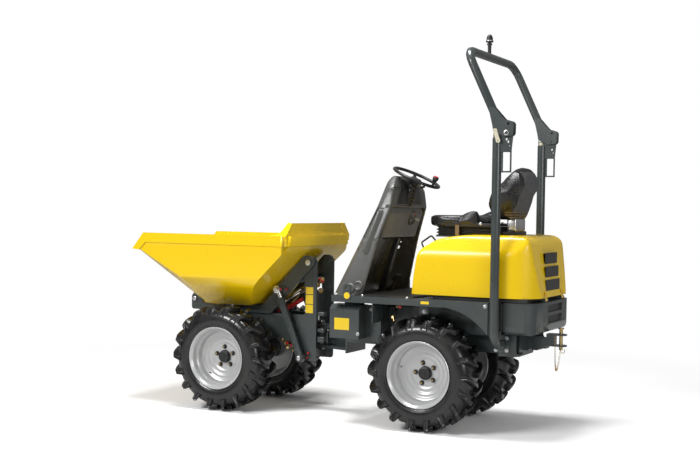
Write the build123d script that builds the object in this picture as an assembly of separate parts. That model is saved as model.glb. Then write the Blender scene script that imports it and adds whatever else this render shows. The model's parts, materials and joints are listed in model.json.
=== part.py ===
from build123d import *

import os
from math import cos, pi, radians, sin

# A one-tonne articulated wheel dumper with a high-tip skip, in millimetres.
#
# Lengths along X are measured from the rear axle, forward to the skip. The export then moves
# every piece back by HALF_WAY, so that the origin is on the ground under the middle of the
# machine. +Y is the driver's left and +Z is up.

# ---- driving dimensions ----
WHEELBASE = 1565.0
TYRE_R = 380.0            # over the lugs
TYRE_HALF = 132.0         # half the tyre's section
WHEEL_Y = 363.0           # centre plane of each wheel
LIP_X = 2300.0            # front edge of the skip
JAW_X = -846.0            # rear end of the tow jaw
HALF_WAY = (LIP_X + JAW_X) / 2
SIDE = 495.0              # half the overall width, at the tyres and the skip's rim

STEER_X = 970.0           # vertical pin between the two half frames

ARM_PIN = (1004.0, 1069.0)      # (x, z) of the lift arms' pivot at the top of the mast
SKIP_PIN = (1965.0, 768.0)      # (x, z) of the skip's pivot at the arms' front end
LIFT_FOOT = (1042.0, 387.0)     # lift cylinders' pin at the foot of the mast
LIFT_HEAD = (1236.0, 869.0)     # lift cylinders' pin on the arms
TIP_ROOT = (1060.0, 890.0)      # tip cylinder's rod pin, under the arms' cross tube
TIP_LEVER = (1940.0, 480.0)     # tip cylinder's other pin, at the end of the skip's lever
ARM_TIE = (1345.0, 709.0)       # cross tube low between the lift arms
STEER_ROOT = (560.0, -185.0)    # (x, y) of the steering cylinder's pin on the rear frame
STEER_LUG = (985.0, -195.0)     # (x, y) of its pin on the front frame
STEER_Z = 550.0

DECK_Z = 876.0            # top of the driver's platform
DECK_HALF = 490.0
HOOD_HALF = 418.0
HOOD_FOOT = 903.0
HOOD_TOP = 1300.0
POST_X = -508.0           # roll bar posts
POST_Y = 465.0
POST_R = 30.0
FOLD_PIN = (-577.0, 1949.0)     # hinge of the folding hoop
HOOP_TOP = 2485.0         # centre line of the hoop's cross tube
WHEEL_AXIS = (242.0, 1680.0)    # centre of the steering wheel's rim
WHEEL_LEAN = 24.0               # degrees from the vertical, towards the driver
CLEAR = 6.0               # between pieces that move past each other


# ---- small builders ----
ROUND = 0                 # flats of a bar that is a true cylinder: pins, holes and fits
STEPS_A_BEND = 4


def loop(points, corners=0.0):
    """A closed outline, its corners rounded by one radius or by a list of them."""
    if corners:
        return FilletPolyline(*points, radius=corners, close=True)
    return Polyline(*points, close=True)


def side_plate(points, y_low, y_high, corners=0.0):
    """A plate whose outline is given in X and Z."""
    face = Plane.XZ * make_face(loop(points, corners))
    return Pos(0, y_high, 0) * extrude(face, y_high - y_low)


def floor_plate(points, z_low, z_high, corners=0.0):
    """A plate whose outline is given in X and Y."""
    return Pos(0, 0, z_low) * extrude(make_face(loop(points, corners)), z_high - z_low)


def cross_plate(points, x_low, x_high, corners=0.0):
    """A plate whose outline is given in Y and Z."""
    face = Plane.YZ * make_face(loop(points, corners))
    return Pos(x_low, 0, 0) * extrude(face, x_high - x_low)


def block(x_low, x_high, y_low, y_high, z_low, z_high):
    size = (x_high - x_low, y_high - y_low, z_high - z_low)
    return Pos(x_low, y_low, z_low) * Box(*size, align=(Align.MIN,) * 3)


def bar(start, end, radius, flats=12):
    """A bar from one point to another: twelve flats keep the mesh light, none makes it round."""
    way = Vector(*end) - Vector(*start)
    section = RegularPolygon(radius, flats) if flats else Circle(radius)
    return Plane(origin=start, z_dir=way) * extrude(section, way.length)


def cross_bar(place, y_low, y_high, radius, flats=12):
    """A bar along Y, at a place given in X and Z."""
    return bar((place[0], y_low, place[1]), (place[0], y_high, place[1]), radius, flats)


def upright(place, z_low, z_high, radius, flats=12):
    """A bar along Z, at a place given in X and Y."""
    return bar((*place, z_low), (*place, z_high), radius, flats)


def bent_tube(points, radius, bend, flats=12):
    """A tube bent in short steps, its corners rounded by one radius."""
    path = FilletPolyline(*points, radius=bend)
    stops = [path @ 0]
    for run in path.edges():
        steps = 1 if run.geom_type == GeomType.LINE else STEPS_A_BEND
        stops += [run @ (n / steps) for n in range(1, steps + 1)]
    route = Polyline(*stops)
    section = Plane(origin=route @ 0, z_dir=route % 0) * RegularPolygon(radius, flats)
    return sweep(section, path=route, transition=Transition.RIGHT)


def faceted(section, sides):
    """A ring about Y with flat sides, its section given as radius and Y."""
    step = 2 * pi / sides

    def spot(place, n):
        reach, turn = place[0] / cos(step / 2), step * (n + 0.5)
        return (reach * cos(turn), place[1], reach * sin(turn))

    faces = []
    for a, b in zip(section, section[1:] + section[:1]):
        if a[0] == b[0] == 0:
            continue
        for n in range(sides):
            corners = [spot(a, n), spot(b, n), spot(b, n + 1), spot(a, n + 1)]
            if a[0] == 0:
                corners.pop()
            elif b[0] == 0:
                corners.pop(2)
            faces.append(Face(Wire.make_polygon(corners)))
    return Solid(Shell(faces))


def both_sides(piece):
    return piece + mirror(piece, about=Plane.XZ)


def between(start, end, share):
    return tuple(a + (b - a) * share for a, b in zip(start, end))


def save(name, piece):
    export_step(Pos(-HALF_WAY, 0, 0) * piece, f"parts/{name}.step")


# ---- wheels ----
LUGS = 18                 # to each side of the tread, and the flats of the carcass
RIM_FLATS = 20
LUG_FOOT = 300.0          # radius to which a lug runs down the sidewall
LUG_AHEAD = 58.0          # how far its leading corner is ahead of its foot


def tyre_carcass():
    # radius and Y of half the rubber's section, from the bead to the tread
    half = [(207, 112), (240, 126), (318, 126), (350, 100)]
    return faceted(half + [(r, -y) for r, y in reversed(half)], LUGS)


def tyre_lug():
    """One traction bar, from near the middle of the tread down to the sidewall, at angle zero."""
    # Y across the tread and Z along it
    plan = [(4, 30), (4, LUG_AHEAD), (TYRE_HALF + 8, 4), (TYRE_HALF + 8, -26)]
    top = (TYRE_R ** 2 - LUG_AHEAD ** 2) ** 0.5
    # radius and Y of its section: crown, shoulder and the end that runs down the sidewall
    crown = [(LUG_FOOT, -10), (top, -10), (top, 104), (top - 28, TYRE_HALF), (LUG_FOOT, TYRE_HALF)]
    section = Pos(0, 0, -100) * extrude(make_face(loop(crown)), 200)
    return section & extrude(Plane.YZ * make_face(loop(plan)), TYRE_R + 1)


def tyre():
    lug = tyre_lug()
    step = 360 / LUGS
    left = [Rot(0, step * n, 0) * lug for n in range(LUGS)]
    right = [Rot(0, step * (n + 0.5), 0) * mirror(lug, about=Plane.XZ) for n in range(LUGS)]
    return tyre_carcass() + left + right


def rim():
    """A deep-dished wheel: flanged barrel with its disc, hub drum, cap and five nuts."""
    # radius and Y, along the tyre's side from the outer flange to the inner one and back
    barrel = [(219, 126), (204, 117), (204, 84), (182, 62), (182, -14), (204, -42), (204, -117),
              (219, -126), (211, -126), (198, -114), (197, -44), (174, -22), (98, -19), (0, -19)]
    dish = [(0, -9), (98, -9), (150, -2), (176, 12), (176, 60), (197, 88), (198, 114), (211, 126)]
    drum = bar((0, -41, 0), (0, -19, 0), 60, ROUND)
    cap = faceted([(0, -9), (42, -9), (42, 18), (36, 26), (0, 26)], 16)
    nut = Pos(70, -9, 0) * (Rot(90, 0, 0) * extrude(RegularPolygon(12, 6), -16))
    nuts = [Rot(0, 72 * n + 10, 0) * nut for n in range(5)]
    return faceted(barrel + dish, RIM_FLATS) + drum + cap + nuts


def axle(x):
    """A drive axle: bulged middle housing, tapering tubes and the wheel flanges."""
    # radius and Y of half the casing
    half = [(108, 60), (96, 96), (58, 122), (44, 150), (44, 292), (74, 302), (74, 318), (0, 318)]
    casing = faceted(half + [(r, -y) for r, y in reversed(half)], 20)
    nose = bar((30, 0, 0), (175, 0, 0), 52)
    return Pos(x, 0, TYRE_R) * (casing + nose)


def save_wheels():
    rubber, metal = tyre(), rim()
    for end, x in (("front", WHEELBASE), ("rear", 0.0)):
        for hand, side in (("left", 1), ("right", -1)):
            place = Pos(x, side * WHEEL_Y, TYRE_R)
            for name, piece in (("tyre", rubber), ("rim", metal)):
                turned_round = piece if side > 0 else mirror(piece, about=Plane.XZ)
                save(f"{name}_{end}_{hand}", place * turned_round)
        save(f"{end}_axle", axle(x))


# ---- rear half: frame, deck, boxes ----
RAIL_IN, RAIL_OUT = 138.0, 150.0
AXLE_BED = 110.0          # radius of the frames' beds on the axle casings


def rear_frame():
    rail = side_plate([(-560, 520), (-560, 664), (-540, 664), (-540, 690), (700, 690), (700, 520)],
                      RAIL_IN, RAIL_OUT)
    rails = both_sides(rail)
    # each row: x low, x high, half width, z low, z high
    ties = [(-575, -560, RAIL_OUT, 505, 664), (-300, -285, RAIL_IN, 530, 680),
            (470, 485, RAIL_IN, 520, 680), (688, 700, RAIL_OUT, 440, 690)]
    cross = [block(a, b, -h, h, c, d) for a, b, h, c, d in ties]
    # the rounded ears that hold the steering pin
    ear = [(688, -120), (800, -92), (880, -60), (STEER_X, -50), (STEER_X, 50), (880, 60),
           (800, 92), (688, 120)]
    ears = []
    for z in (455, 600):
        ears += [floor_plate(ear, z, z + 20), upright((STEER_X, 0), z, z + 20, 50)]
    web = block(688, 880, -10, 10, 470, 605)
    # outriggers that carry the deck, the roll bar's feet and the side boxes
    outrigger = block(-600, -480, RAIL_OUT, 292, 520, 536) + block(-496, -480, RAIL_OUT, 292, 536, 690)
    outrigger += block(-600, -480, 280, 292, 536, 660)
    stands = [block(x, x + 30, RAIL_IN, RAIL_OUT + 50, 690, DECK_Z - 8) for x in (250, 560)]
    arm = block(500, 620, RAIL_OUT, 300, 640, 652)
    side = outrigger + stands + arm
    bed = block(-60, 60, -RAIL_IN, RAIL_IN, 520, 532) + block(-50, 50, -60, 60, 486, 520)
    bed -= cross_bar((0, TYRE_R), -150, 150, AXLE_BED, ROUND)
    fork = [block(535, 585, -212, -RAIL_OUT, STEER_Z + z, STEER_Z + z + 10) for z in (-36, 26)]
    pin = upright(STEER_ROOT, STEER_Z - 40, STEER_Z + 40, 12, ROUND)
    whole = rails + cross + ears + web + both_sides(side) + bed + fork + pin
    return whole - upright((STEER_X, 0), 440, 640, 20.05, ROUND)


def steering_pin():
    """The vertical pin of the articulation, with its hexagon heads."""
    shank = upright((STEER_X, 0), 440, 650, 20, ROUND)
    head = floor_plate([(30 * cos(radians(60 * n)), 30 * sin(radians(60 * n))) for n in range(6)], 0, 18)
    return shank + Pos(STEER_X, 0, 620) * head + Pos(STEER_X, 0, 437) * head


def deck():
    """Driver's floor with its sills, the rear mudguards' skirts and the front tie-down lugs."""
    top = floor_plate([(-474, -DECK_HALF), (640, -DECK_HALF), (640, DECK_HALF), (-474, DECK_HALF)],
                      DECK_Z - 8, DECK_Z)
    top -= block(-500, 60, -225, 225, 800, 900)
    edge = make_face([Line((640, DECK_Z - 8), (640, 831)), Line((640, 831), (-190, 831)),
                      ThreePointArc((-190, 831), (-345, 778), (-466, 676)),
                      Line((-466, 676), (-474, 676)), Line((-474, 676), (-474, DECK_Z - 8)),
                      Line((-474, DECK_Z - 8), (640, DECK_Z - 8))])
    skirt = Pos(0, DECK_HALF, 0) * extrude(Plane.XZ * edge, 10)
    front = block(630, 640, 0, DECK_HALF - 10, 831, DECK_Z - 8)
    lug = side_plate([(494, 840), (494, 955), (550, 955), (550, 840)], DECK_HALF, DECK_HALF + 4.5,
                     [0, 26, 26, 0])
    lug -= cross_bar((522, 929), DECK_HALF - 1, DECK_HALF + 6, 12, ROUND)
    lug -= block(400, 600, DECK_HALF, DECK_HALF + 6, 800, 850)
    toe = block(494, 550, DECK_HALF - 10, DECK_HALF, DECK_Z, 955) & side_plate(
        [(494, 840), (494, 955), (550, 955), (550, 840)], DECK_HALF - 10, DECK_HALF, [0, 26, 26, 0])
    toe -= cross_bar((522, 929), DECK_HALF - 11, DECK_HALF + 1, 12, ROUND)
    return top + both_sides(skirt + front + lug + toe)


def mudguards():
    """Liners between the rear wheels and the engine bay, closed towards the front."""
    wall = side_plate([(-470, 700), (-470, DECK_Z - 8), (340, DECK_Z - 8), (340, 640), (-400, 640)],
                      214, 220)
    front = block(334, 340, 220, DECK_HALF - 10, 700, DECK_Z - 8)
    return both_sides(wall + front)


def side_box(side):
    """Battery box or tank that hangs under the deck's edge."""
    case = block(456, 676, 300, 440, 580, 808)
    case = chamfer(case.edges().filter_by(Axis.X).group_by(Axis.Z)[-1].sort_by(Axis.Y)[-1], 30)
    wing = side_plate([(343, 560), (456, 560), (456, 808), (343, 808)], 318, 330, [30, 0, 0, 0])
    hanger = block(500, 620, 302, 330, 808, DECK_Z - 8)
    whole = case + wing + hanger
    return whole if side > 0 else mirror(whole, about=Plane.XZ)


def engine_block():
    return block(-540, -60, -190, 190, 690, 1160)


# ---- hood, ballast, hitch ----
TAIL_X = -765.0           # rear face of hood and ballast
# each row: half width, lowest and highest edge of a cooling slot
HOOD_SLOTS = [(145, 948, 1009), (134, 1038, 1096), (122, 1125, 1184)]
BALLAST_SLOTS = [(158, 734, 784), (158, 803, 854)]


def slot_cuts(rows):
    return [block(TAIL_X - 10, TAIL_X + 130, -half, half, low, high) for half, low, high in rows]


def hood_form(inset):
    """The hood's outer form, or the hollow inside it, as three prisms that cross."""
    top = HOOD_TOP - inset
    foot = HOOD_FOOT if inset == 0 else HOOD_FOOT - 40
    tail = TAIL_X + inset
    lean = [(102 - inset, foot), (54 - inset, 1190), (-75, 1274 - inset), (-260, top),
            (tail + 65, top), (tail + 51, 1175), (tail + 15, 948), (tail, foot)]
    side = side_plate(lean, -HOOD_HALF - 10, HOOD_HALF + 10, [0, 110, 200, 900, 80, 200, 200, 0])
    half = HOOD_HALF - inset
    outline = [(110 - inset, -half), (110 - inset, half), (tail, half), (tail, -half)]
    plan = floor_plate(outline, foot - 10, HOOD_TOP + 10, [60, 60, 200, 200])
    rise = [(-half, foot - 5), (half, foot - 5), (half, 1180), (345, top + 5), (-345, top + 5),
            (-half, 1180)]
    section = cross_plate(rise, -900, 150, [0, 0, 120, 60, 60, 120])
    return side & plan & section


HINGE = (-752.0, 889.0)   # (x, z) of the hood's hinge, between its foot and the ballast
KNUCKLE_R = 11.0
HINGE_PIN_R = 6.0


def hood():
    knuckle = cross_bar(HINGE, 162, 198, KNUCKLE_R) + block(-759, -749, 162, 198, HINGE[1], 940)
    knuckle -= cross_bar(HINGE, 161, 199, HINGE_PIN_R + 0.05, ROUND)
    return hood_form(0) - hood_form(6) - slot_cuts(HOOD_SLOTS) + both_sides(knuckle)


def rear_ballast():
    """Counterweight behind the rear wheels, with two rows of cooling slots and the hinge pins."""
    front, half = -545, 400
    plan = [(front, -half), (front, half), (TAIL_X, half), (TAIL_X, -half)]
    body = floor_plate(plan, 668, 874, [0, 0, 150, 150])
    body &= side_plate([(front, 874), (TAIL_X, 874), (TAIL_X, 730), (-735, 668), (front, 668)],
                       -half, half, [0, 0, 60, 40, 0])
    body &= cross_plate([(-half, 874), (half, 874), (half, 668), (-half, 668)], TAIL_X, front,
                        [0, 0, 60, 60])
    slots = [block(TAIL_X - 10, TAIL_X + 24, -w, w, low, high) for w, low, high in BALLAST_SLOTS]
    lugs = []
    for low, high in ((144, 160), (200, 216)):
        lugs += [cross_bar(HINGE, low, high, KNUCKLE_R), block(-763, -741, low, high, 870, HINGE[1])]
    pin = cross_bar(HINGE, 144, 216, HINGE_PIN_R, ROUND)
    return body - slots + both_sides(pin + lugs)


def tow_hitch():
    box = block(-682, -605, -45, 45, 550, 636) + block(-720, -682, -38, 38, 558, 628)
    arm = block(-605, -575, -45, 45, 540, 650)
    jaws = []
    plan = [(-720, -36), (JAW_X + 20, -36), (JAW_X, -16), (JAW_X, 16), (JAW_X + 20, 36), (-720, 36)]
    for z in (575, 647):
        jaws.append(floor_plate(plan, z, z + 10) - upright((-809, 0), z - 1, z + 11, 12.1, ROUND))
    web = block(-770, -720, -36, 36, 575, 657)
    return box + arm + jaws + web


def tow_pin():
    return upright((-809, 0), 552, 690, 12, ROUND) + upright((-809, 0), 690, 698, 20)


# ---- roll bar ----
HOOP_R = 28.0
HOOP_X = -293.0           # cross tube of the hoop
HOOP_FOOT = (-528.0, 1985.0)    # lower ends of the hoop's legs


def rops_posts():
    """The bent posts, each with its foot flange, the hinge's ear and a framed stay below it."""
    top = 1918
    foot = (POST_X, 292.0, 600.0)
    post = bent_tube([foot, (POST_X, POST_Y, 600), (POST_X, POST_Y, top)], POST_R, 95)
    flange = block(-560, -456, 292, 302, 545, 655)
    ear = [(-600, 1830), (-610, 1930), (-602, 1975), (-554, 1975), (-520, 1930), (-500, 1918),
           (-500, 1830)]
    ear = side_plate(ear, POST_Y - 12, POST_Y + 12, [12, 20, 22, 22, 20, 0, 0])
    frame = side_plate([(-604, 1835), (-604, 1700), (-500, 1700), (-500, 1835)], POST_Y - 4, POST_Y + 4)
    frame -= side_plate([(-595, 1828), (-595, 1710), (-548, 1710), (-548, 1828)], POST_Y - 5, POST_Y + 5)
    holes = cross_bar(FOLD_PIN, POST_Y - 13, POST_Y + 13, 10.05, ROUND)
    for place, radius in (((-582, 1893), 9), ((-590, 1868), 6)):
        holes += cross_bar(place, POST_Y - 13, POST_Y + 13, radius)
    return both_sides(post + flange + (ear + frame - holes))


def rops_hoop():
    """The folding hoop: a bent tube with two cheeks and a pin at the foot of each leg."""
    tube = bent_tube([(HOOP_FOOT[0], POST_Y, HOOP_FOOT[1]), (HOOP_X, POST_Y, HOOP_TOP),
                      (HOOP_X, -POST_Y, HOOP_TOP), (HOOP_FOOT[0], -POST_Y, HOOP_FOOT[1])], HOOP_R, 100)
    shape = [(-455, 2108), (-490, 2113), (-561, 2034), (-622, 2016), (-620, 1930), (-560, 1926),
             (-489, 1960), (-482, 2000)]
    radii = [0, 0, 30, 24, 20, 30, 15, 30]
    cheeks = [side_plate(shape, POST_Y + y, POST_Y + y + 8, radii) for y in (-28, 20)]
    holes = cross_bar((-588, 2005), POST_Y - 30, POST_Y + 30, 9)
    pin = cross_bar(FOLD_PIN, POST_Y - 34, POST_Y + 34, 10, ROUND)
    return tube + both_sides(cheeks[0] + cheeks[1] - holes + pin)


def beacon():
    """Beacon spigot on the hoop's cross tube, with its bell-shaped cap."""
    place, foot = (HOOP_X, 45), HOOP_TOP + 20
    stem = upright(place, foot, 2585, 13) - rops_hoop()
    # radius and height of the cap's section
    bell = faceted([(0, 0), (25, 0), (25, 14), (20, 36), (12, 54), (0, 54)], 14)
    return stem + Pos(*place, 2585) * (Rot(90, 0, 0) * bell)


# ---- driver's place ----
def console_form(inset):
    """The console's outer form, or the hollow inside it: a leaning side view and a front view."""
    foot = DECK_Z + 4 if inset == 0 else DECK_Z - 10
    back = -120 if inset else 0
    lean = [(465 + back, foot), (700 - inset, foot), (512 - inset, 1250), (415 - inset, 1476),
            (380 - inset, 1610), (352, 1692 - inset), (318, 1686 - inset), (292 + back, 1600),
            (291 + back, 1476), (367 + back, 1250)]
    side = side_plate(lean, -400, 400, [0, 0, 300, 300, 150, 18, 12, 60, 60, 300])
    face = [(-391 + inset, foot - 1), (391 - inset, foot - 1), (350 - inset, 1250),
            (312 - inset, 1476), (272 - inset, 1600), (150, 1700 - inset)]
    face += [(-y, z) for y, z in reversed(face[2:])]
    return side & cross_plate(face, 100, 760, [0, 0, 300, 300, 120, 90, 90, 120, 300, 300])


BEVEL = 30.0


def dash_console():
    """The moulded console: two side wings and a leaning front, open towards the driver."""
    outer = console_form(0)
    # bevelled ridges between the front and the sides, as deep as BEVEL
    foot, brow = Vector(700, 391, 880), Vector(415, 312, 1476)
    run = brow - foot
    outward = Vector(1, 1, -(run.X + run.Y) / run.Z).normalized()
    for side in (1, -1):
        origin = foot - outward * BEVEL
        bevel = Plane(origin=(origin.X, side * origin.Y, origin.Z),
                      z_dir=(outward.X, side * outward.Y, outward.Z))
        outer = split(outer, bisect_by=bevel, keep=Keep.BOTTOM)
    hollow = console_form(18) & block(0, 800, -400, 400, 800, 1470)
    return outer - hollow - steering_column()


def knee_bolster():
    """The padded panel that closes the console towards the driver's knees."""
    shape = [(392, 1262), (368, 1262), (346, 1330), (306, 1440), (316, 1462), (372, 1462)]
    return side_plate(shape, -285, 285, [0, 0, 80, 14, 0, 0])


def console_pillar():
    return side_plate([(520, 880), (478, 880), (364, 1256), (392, 1256)], -20, 20)


def wheel_place(along):
    """A point on the steering column's axis, so far above the rim's centre."""
    lean = radians(WHEEL_LEAN)
    return (WHEEL_AXIS[0] - along * sin(lean), 0.0, WHEEL_AXIS[1] + along * cos(lean))


def steering_column():
    foot = wheel_place(-195)
    return bar(foot, wheel_place(-60), 28, ROUND) + bar(foot, wheel_place(-120), 48)


def steering_wheel():
    """Rim, hub, three spokes and the knob for one-handed steering, turned onto the column."""
    grip = 12
    rim_section = [(165 + grip * cos(radians(60 * n)), grip * sin(radians(60 * n))) for n in range(6)]
    ring = Rot(90, 0, 0) * faceted(rim_section, 26)
    hub = bar((0, 0, -55), (0, 0, -5), 34, ROUND)
    spoke = Pos(92, 0, -14) * (Rot(0, -9, 0) * Box(142, 24, 7))
    spokes = [Rot(0, 0, 120 * n + 60) * spoke for n in range(3)]
    knob = Rot(0, 0, 160) * (bar((165, 0, 0), (165, 0, 40), 8) + bar((165, 0, 38), (165, 0, 74), 20))
    at = Plane(origin=wheel_place(0), z_dir=(-sin(radians(WHEEL_LEAN)), 0, cos(radians(WHEEL_LEAN))))
    return at * (ring + hub + spokes + knob)


def pedals():
    """Travel pedal on the right of the pillar, on its own bracket."""
    stem = bar((470, -110, DECK_Z + 5), (440, -110, 960), 8)
    pad = side_plate([(452, 955), (410, 990), (416, 998), (460, 963)], -145, -75)
    return stem + pad + block(450, 500, -130, -90, DECK_Z + 1, DECK_Z + 8)


def seat_base():
    """Suspension box on the hood, under the cushion."""
    shape = [(12, 1280), (-80, 1280), (-240, 1304), (-440, 1304), (-440, 1352), (12, 1352)]
    return side_plate(shape, -195, 195)


def seat_cushion():
    shape = [(100, 1356), (100, 1418), (-180, 1420), (-250, 1455), (-292, 1455), (-300, 1356)]
    body = side_plate(shape, -235, 235, [25, 25, 60, 20, 15, 0])
    plan = [(-310, -230), (0, -230), (100, -110), (100, 110), (0, 230), (-310, 230)]
    return body & floor_plate(plan, 1300, 1500, [20, 70, 90, 90, 70, 20])


def seat_back():
    """The backrest, curved to hold the driver, on two flat legs."""
    shape = [(-312, 1400), (-306, 1490), (-338, 1590), (-392, 1700), (-434, 1765), (-476, 1752),
             (-482, 1700), (-424, 1560), (-398, 1400)]
    body = side_plate(shape, -240, 240, [0, 60, 100, 100, 16, 16, 40, 60, 0])
    plan = [(-205, 1390), (205, 1390), (238, 1560), (200, 1770), (-200, 1770), (-238, 1560)]
    legs = block(-372, -350, -150, 150, 1352, 1420)
    return (body & cross_plate(plan, -500, -300, [20, 20, 120, 90, 90, 120])) + legs


def hood_handle():
    ends = [(20, 150, 1242), (60, 150, 1285), (132, 150, 1236), (112, 150, 1190)]
    return bent_tube(ends, 6, 12, 6) - hood_form(0)


# ---- front half: mast frame, arms, skip ----
MAST_IN, MAST_OUT = 124.0, 136.0
ARM_IN, ARM_OUT = MAST_OUT + CLEAR, MAST_OUT + CLEAR + 12
LIFT_Y = 186.0            # centre plane of each lift cylinder
LIFT_ROD_R = 15.0


def front_frame():
    mast = side_plate([(944, 363), (944, 1111), (1046, 1111), (1046, 1000), (1031, 690), (1790, 690),
                       (1790, 513), (1110, 513), (1075, 363)], MAST_IN, MAST_OUT,
                      [20, 41, 41, 0, 30, 20, 60, 60, 20])
    flange = block(1110, 1760, MAST_OUT, MAST_OUT + 16, 513, 523)
    pivot = cross_bar(ARM_PIN, MAST_OUT - 4, ARM_OUT + 8, 22, ROUND)
    foot = cross_bar(LIFT_FOOT, MAST_OUT - 4, LIFT_Y + 28, 16, ROUND)
    side = both_sides(mast + flange + pivot + foot)
    # each row: x low, x high, z low, z high, of the plates across the mast and the beams
    rows = [(1006, 1018, 640, 860), (1000, 1012, 380, 445), (1450, 1680, 516, 528)]
    cross = [block(a, b, -MAST_IN, MAST_IN, c, d) for a, b, c, d in rows]
    saddle = block(1510, 1620, -60, 60, 470, 516)
    saddle -= cross_bar((WHEELBASE, TYRE_R), -150, 150, AXLE_BED, ROUND)
    knuckle = upright((STEER_X, 0), 480, 595, 45) + block(STEER_X, 1060, -40, 40, 485, 590)
    knuckle += block(1040, 1056, -MAST_IN, MAST_IN, 470, 605)
    knuckle -= upright((STEER_X, 0), 470, 605, 20.05, ROUND)
    ear = [(948, -MAST_IN - 4), (1029, -MAST_IN - 4), (1029, -190), (1005, -232), (960, -232), (948, -215)]
    fork = [floor_plate(ear, STEER_Z + z, STEER_Z + z + 10) for z in (-36, 26)]
    return side + cross + saddle + knuckle + fork


def arm_outline():
    """The cranked lift arm, from the mast's top down behind the skip and forward beneath it."""
    return [(956, 1056), (956, 1117), (1038, 1117), (1390, 736), (1890, 736), (1935, 808),
            (1998, 808), (1998, 688), (1312, 688)]


def lift_arms():
    """Both arms, the cross tubes that tie them, the skip's pins and the tip cylinder's lugs."""
    plate = side_plate(arm_outline(), ARM_IN, ARM_OUT, [25, 44, 40, 30, 20, 26, 30, 20, 30])
    plate -= cross_bar(ARM_PIN, ARM_IN - 1, ARM_OUT + 1, 22.05, ROUND)
    pin = cross_bar(SKIP_PIN, ARM_IN - 34, ARM_IN + 1, 18, ROUND)
    pin += cross_bar(SKIP_PIN, ARM_OUT - 1, ARM_OUT + 12, 18)
    ear = side_plate([(1180, 830), (1180, 900), (1268, 900), (1268, 830)], ARM_OUT, ARM_OUT + 6, 30)
    side = both_sides(plate + pin + ear)
    tubes = cross_bar((1085, 948), -ARM_IN, ARM_IN, 28) + cross_bar(ARM_TIE, -ARM_IN, ARM_IN, 14)
    lug = side_plate([(1060, 960), (1034, 890), (1060, 864), (1086, 890), (1112, 960)], 30, 42,
                     [0, 20, 12, 20, 0])
    root = cross_bar(TIP_ROOT, -46, 46, 16, ROUND)
    return side + tubes + both_sides(lug) + root


# (x, z) of the skip's side view and (y, z) of half its front view, from below the floor up
SKIP_SIDE = [(1815, 745), (2252, 1131), (2312, 1140), (2312, 1500), (996, 1500), (996, 1172),
             (1440, 745)]
SKIP_FRONT = [(75, 645), (470, 914), (504, 1510)]
SKIP_HALF = 486.0
SKIP_CORNER = 60.0        # upright corners at the rear
RIM_Z = 1260.0
GUARD_Z = 1350.0          # top of the guard behind the skip
WALL = 6.0


def drawn_in(points, corners, inset):
    face = make_face(loop(points, corners))
    return offset(face, -inset) if inset else face


def skip_form(inset):
    """The tub's outer form, or its hollow: three prisms that cross, cut by two slanting planes."""
    side = drawn_in(SKIP_SIDE, [60, 40, 0, 0, 0, 140, 60], inset)
    form = Pos(0, 600, 0) * extrude(Plane.XZ * side, 1200)
    half = SKIP_FRONT + [(-y, z) for y, z in reversed(SKIP_FRONT)]
    front = drawn_in(half, [0, 120, 0, 0, 120, 0], inset)
    form &= Pos(900, 0, 0) * extrude(Plane.YZ * front, 1500)
    plan = [(1001, -SKIP_HALF), (1001, SKIP_HALF), (2400, SKIP_HALF), (2400, -SKIP_HALF)]
    plan = drawn_in(plan, [SKIP_CORNER, SKIP_CORNER, 0, 0], inset)
    form &= Pos(0, 0, 700) * extrude(plan, 900)
    # the plates between the floor's front corners, the lip and the crease
    floor_corner, lip = Vector(1815, 222, 745), Vector(2252, 462, 1131)
    across = (lip - floor_corner).cross(Vector(0, 248, 165)).normalized()
    slant = Plane(origin=floor_corner + across * inset, z_dir=across)
    form = split(form, bisect_by=slant, keep=Keep.TOP)
    mirrored = Plane(origin=(slant.origin.X, -slant.origin.Y, slant.origin.Z),
                     z_dir=(across.X, -across.Y, across.Z))
    return split(form, bisect_by=mirrored, keep=Keep.TOP)


def rim_outline(out):
    return floor_plate([(1001 - out, -SKIP_HALF - out), (1001 - out, SKIP_HALF + out),
                        (LIP_X, SKIP_HALF + out), (LIP_X, -SKIP_HALF - out)], 1100, 1500,
                       [SKIP_CORNER + out, SKIP_CORNER + out, 0, 0])


def skip_rim():
    """Folded rim band, the guard that rises at the rear and the corner plates between them."""
    out = SIDE - SKIP_HALF
    band = side_plate([(990, 1188), (990, RIM_Z), (2203, RIM_Z), (LIP_X, 1139), (2243, 1133),
                       (2185, 1190)], -SIDE, SIDE)
    band &= rim_outline(out) - rim_outline(-2)
    rise = side_plate([(1001, -4), (1001, 126), (1036, 126), (1060, 20), (1150, -4)], -WALL, 0,
                      [0, 20, 0, 60, 0])
    rise = Pos(0, SKIP_HALF, RIM_Z) * (Rot(43, 0, 0) * rise)
    guard = cross_plate([(-478, RIM_Z - 40), (-478, RIM_Z), (-404, GUARD_Z), (404, GUARD_Z),
                         (478, RIM_Z), (478, RIM_Z - 40)], 1001, 1001 + WALL, [0, 40, 16, 16, 40, 0])
    for y in (-360, 360):
        guard -= bar((990, y, GUARD_Z - 28), (1020, y, GUARD_Z - 28), 7, 8)
    return band + both_sides(rise) + guard


def skip_lugs():
    """The ears that the arms hold and the lever that the tip cylinder pulls."""
    ear = side_plate([(1850, 800), (1990, 880), (2005, 768), (1965, 728), (1925, 768)], 112, 130,
                     [0, 0, 30, 30, 30])
    ear -= cross_bar(SKIP_PIN, 100, 140, 18.05, ROUND)
    lever = side_plate([(1905, 830), (1990, 880), (1990, 740), (1978, 480), (1940, 440), (1902, 480),
                        (1905, 700)], 44, 56, [0, 0, 60, 30, 36, 30, 60])
    return both_sides(ear + lever + cross_bar(TIP_LEVER, 56, 62, 22))


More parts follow.
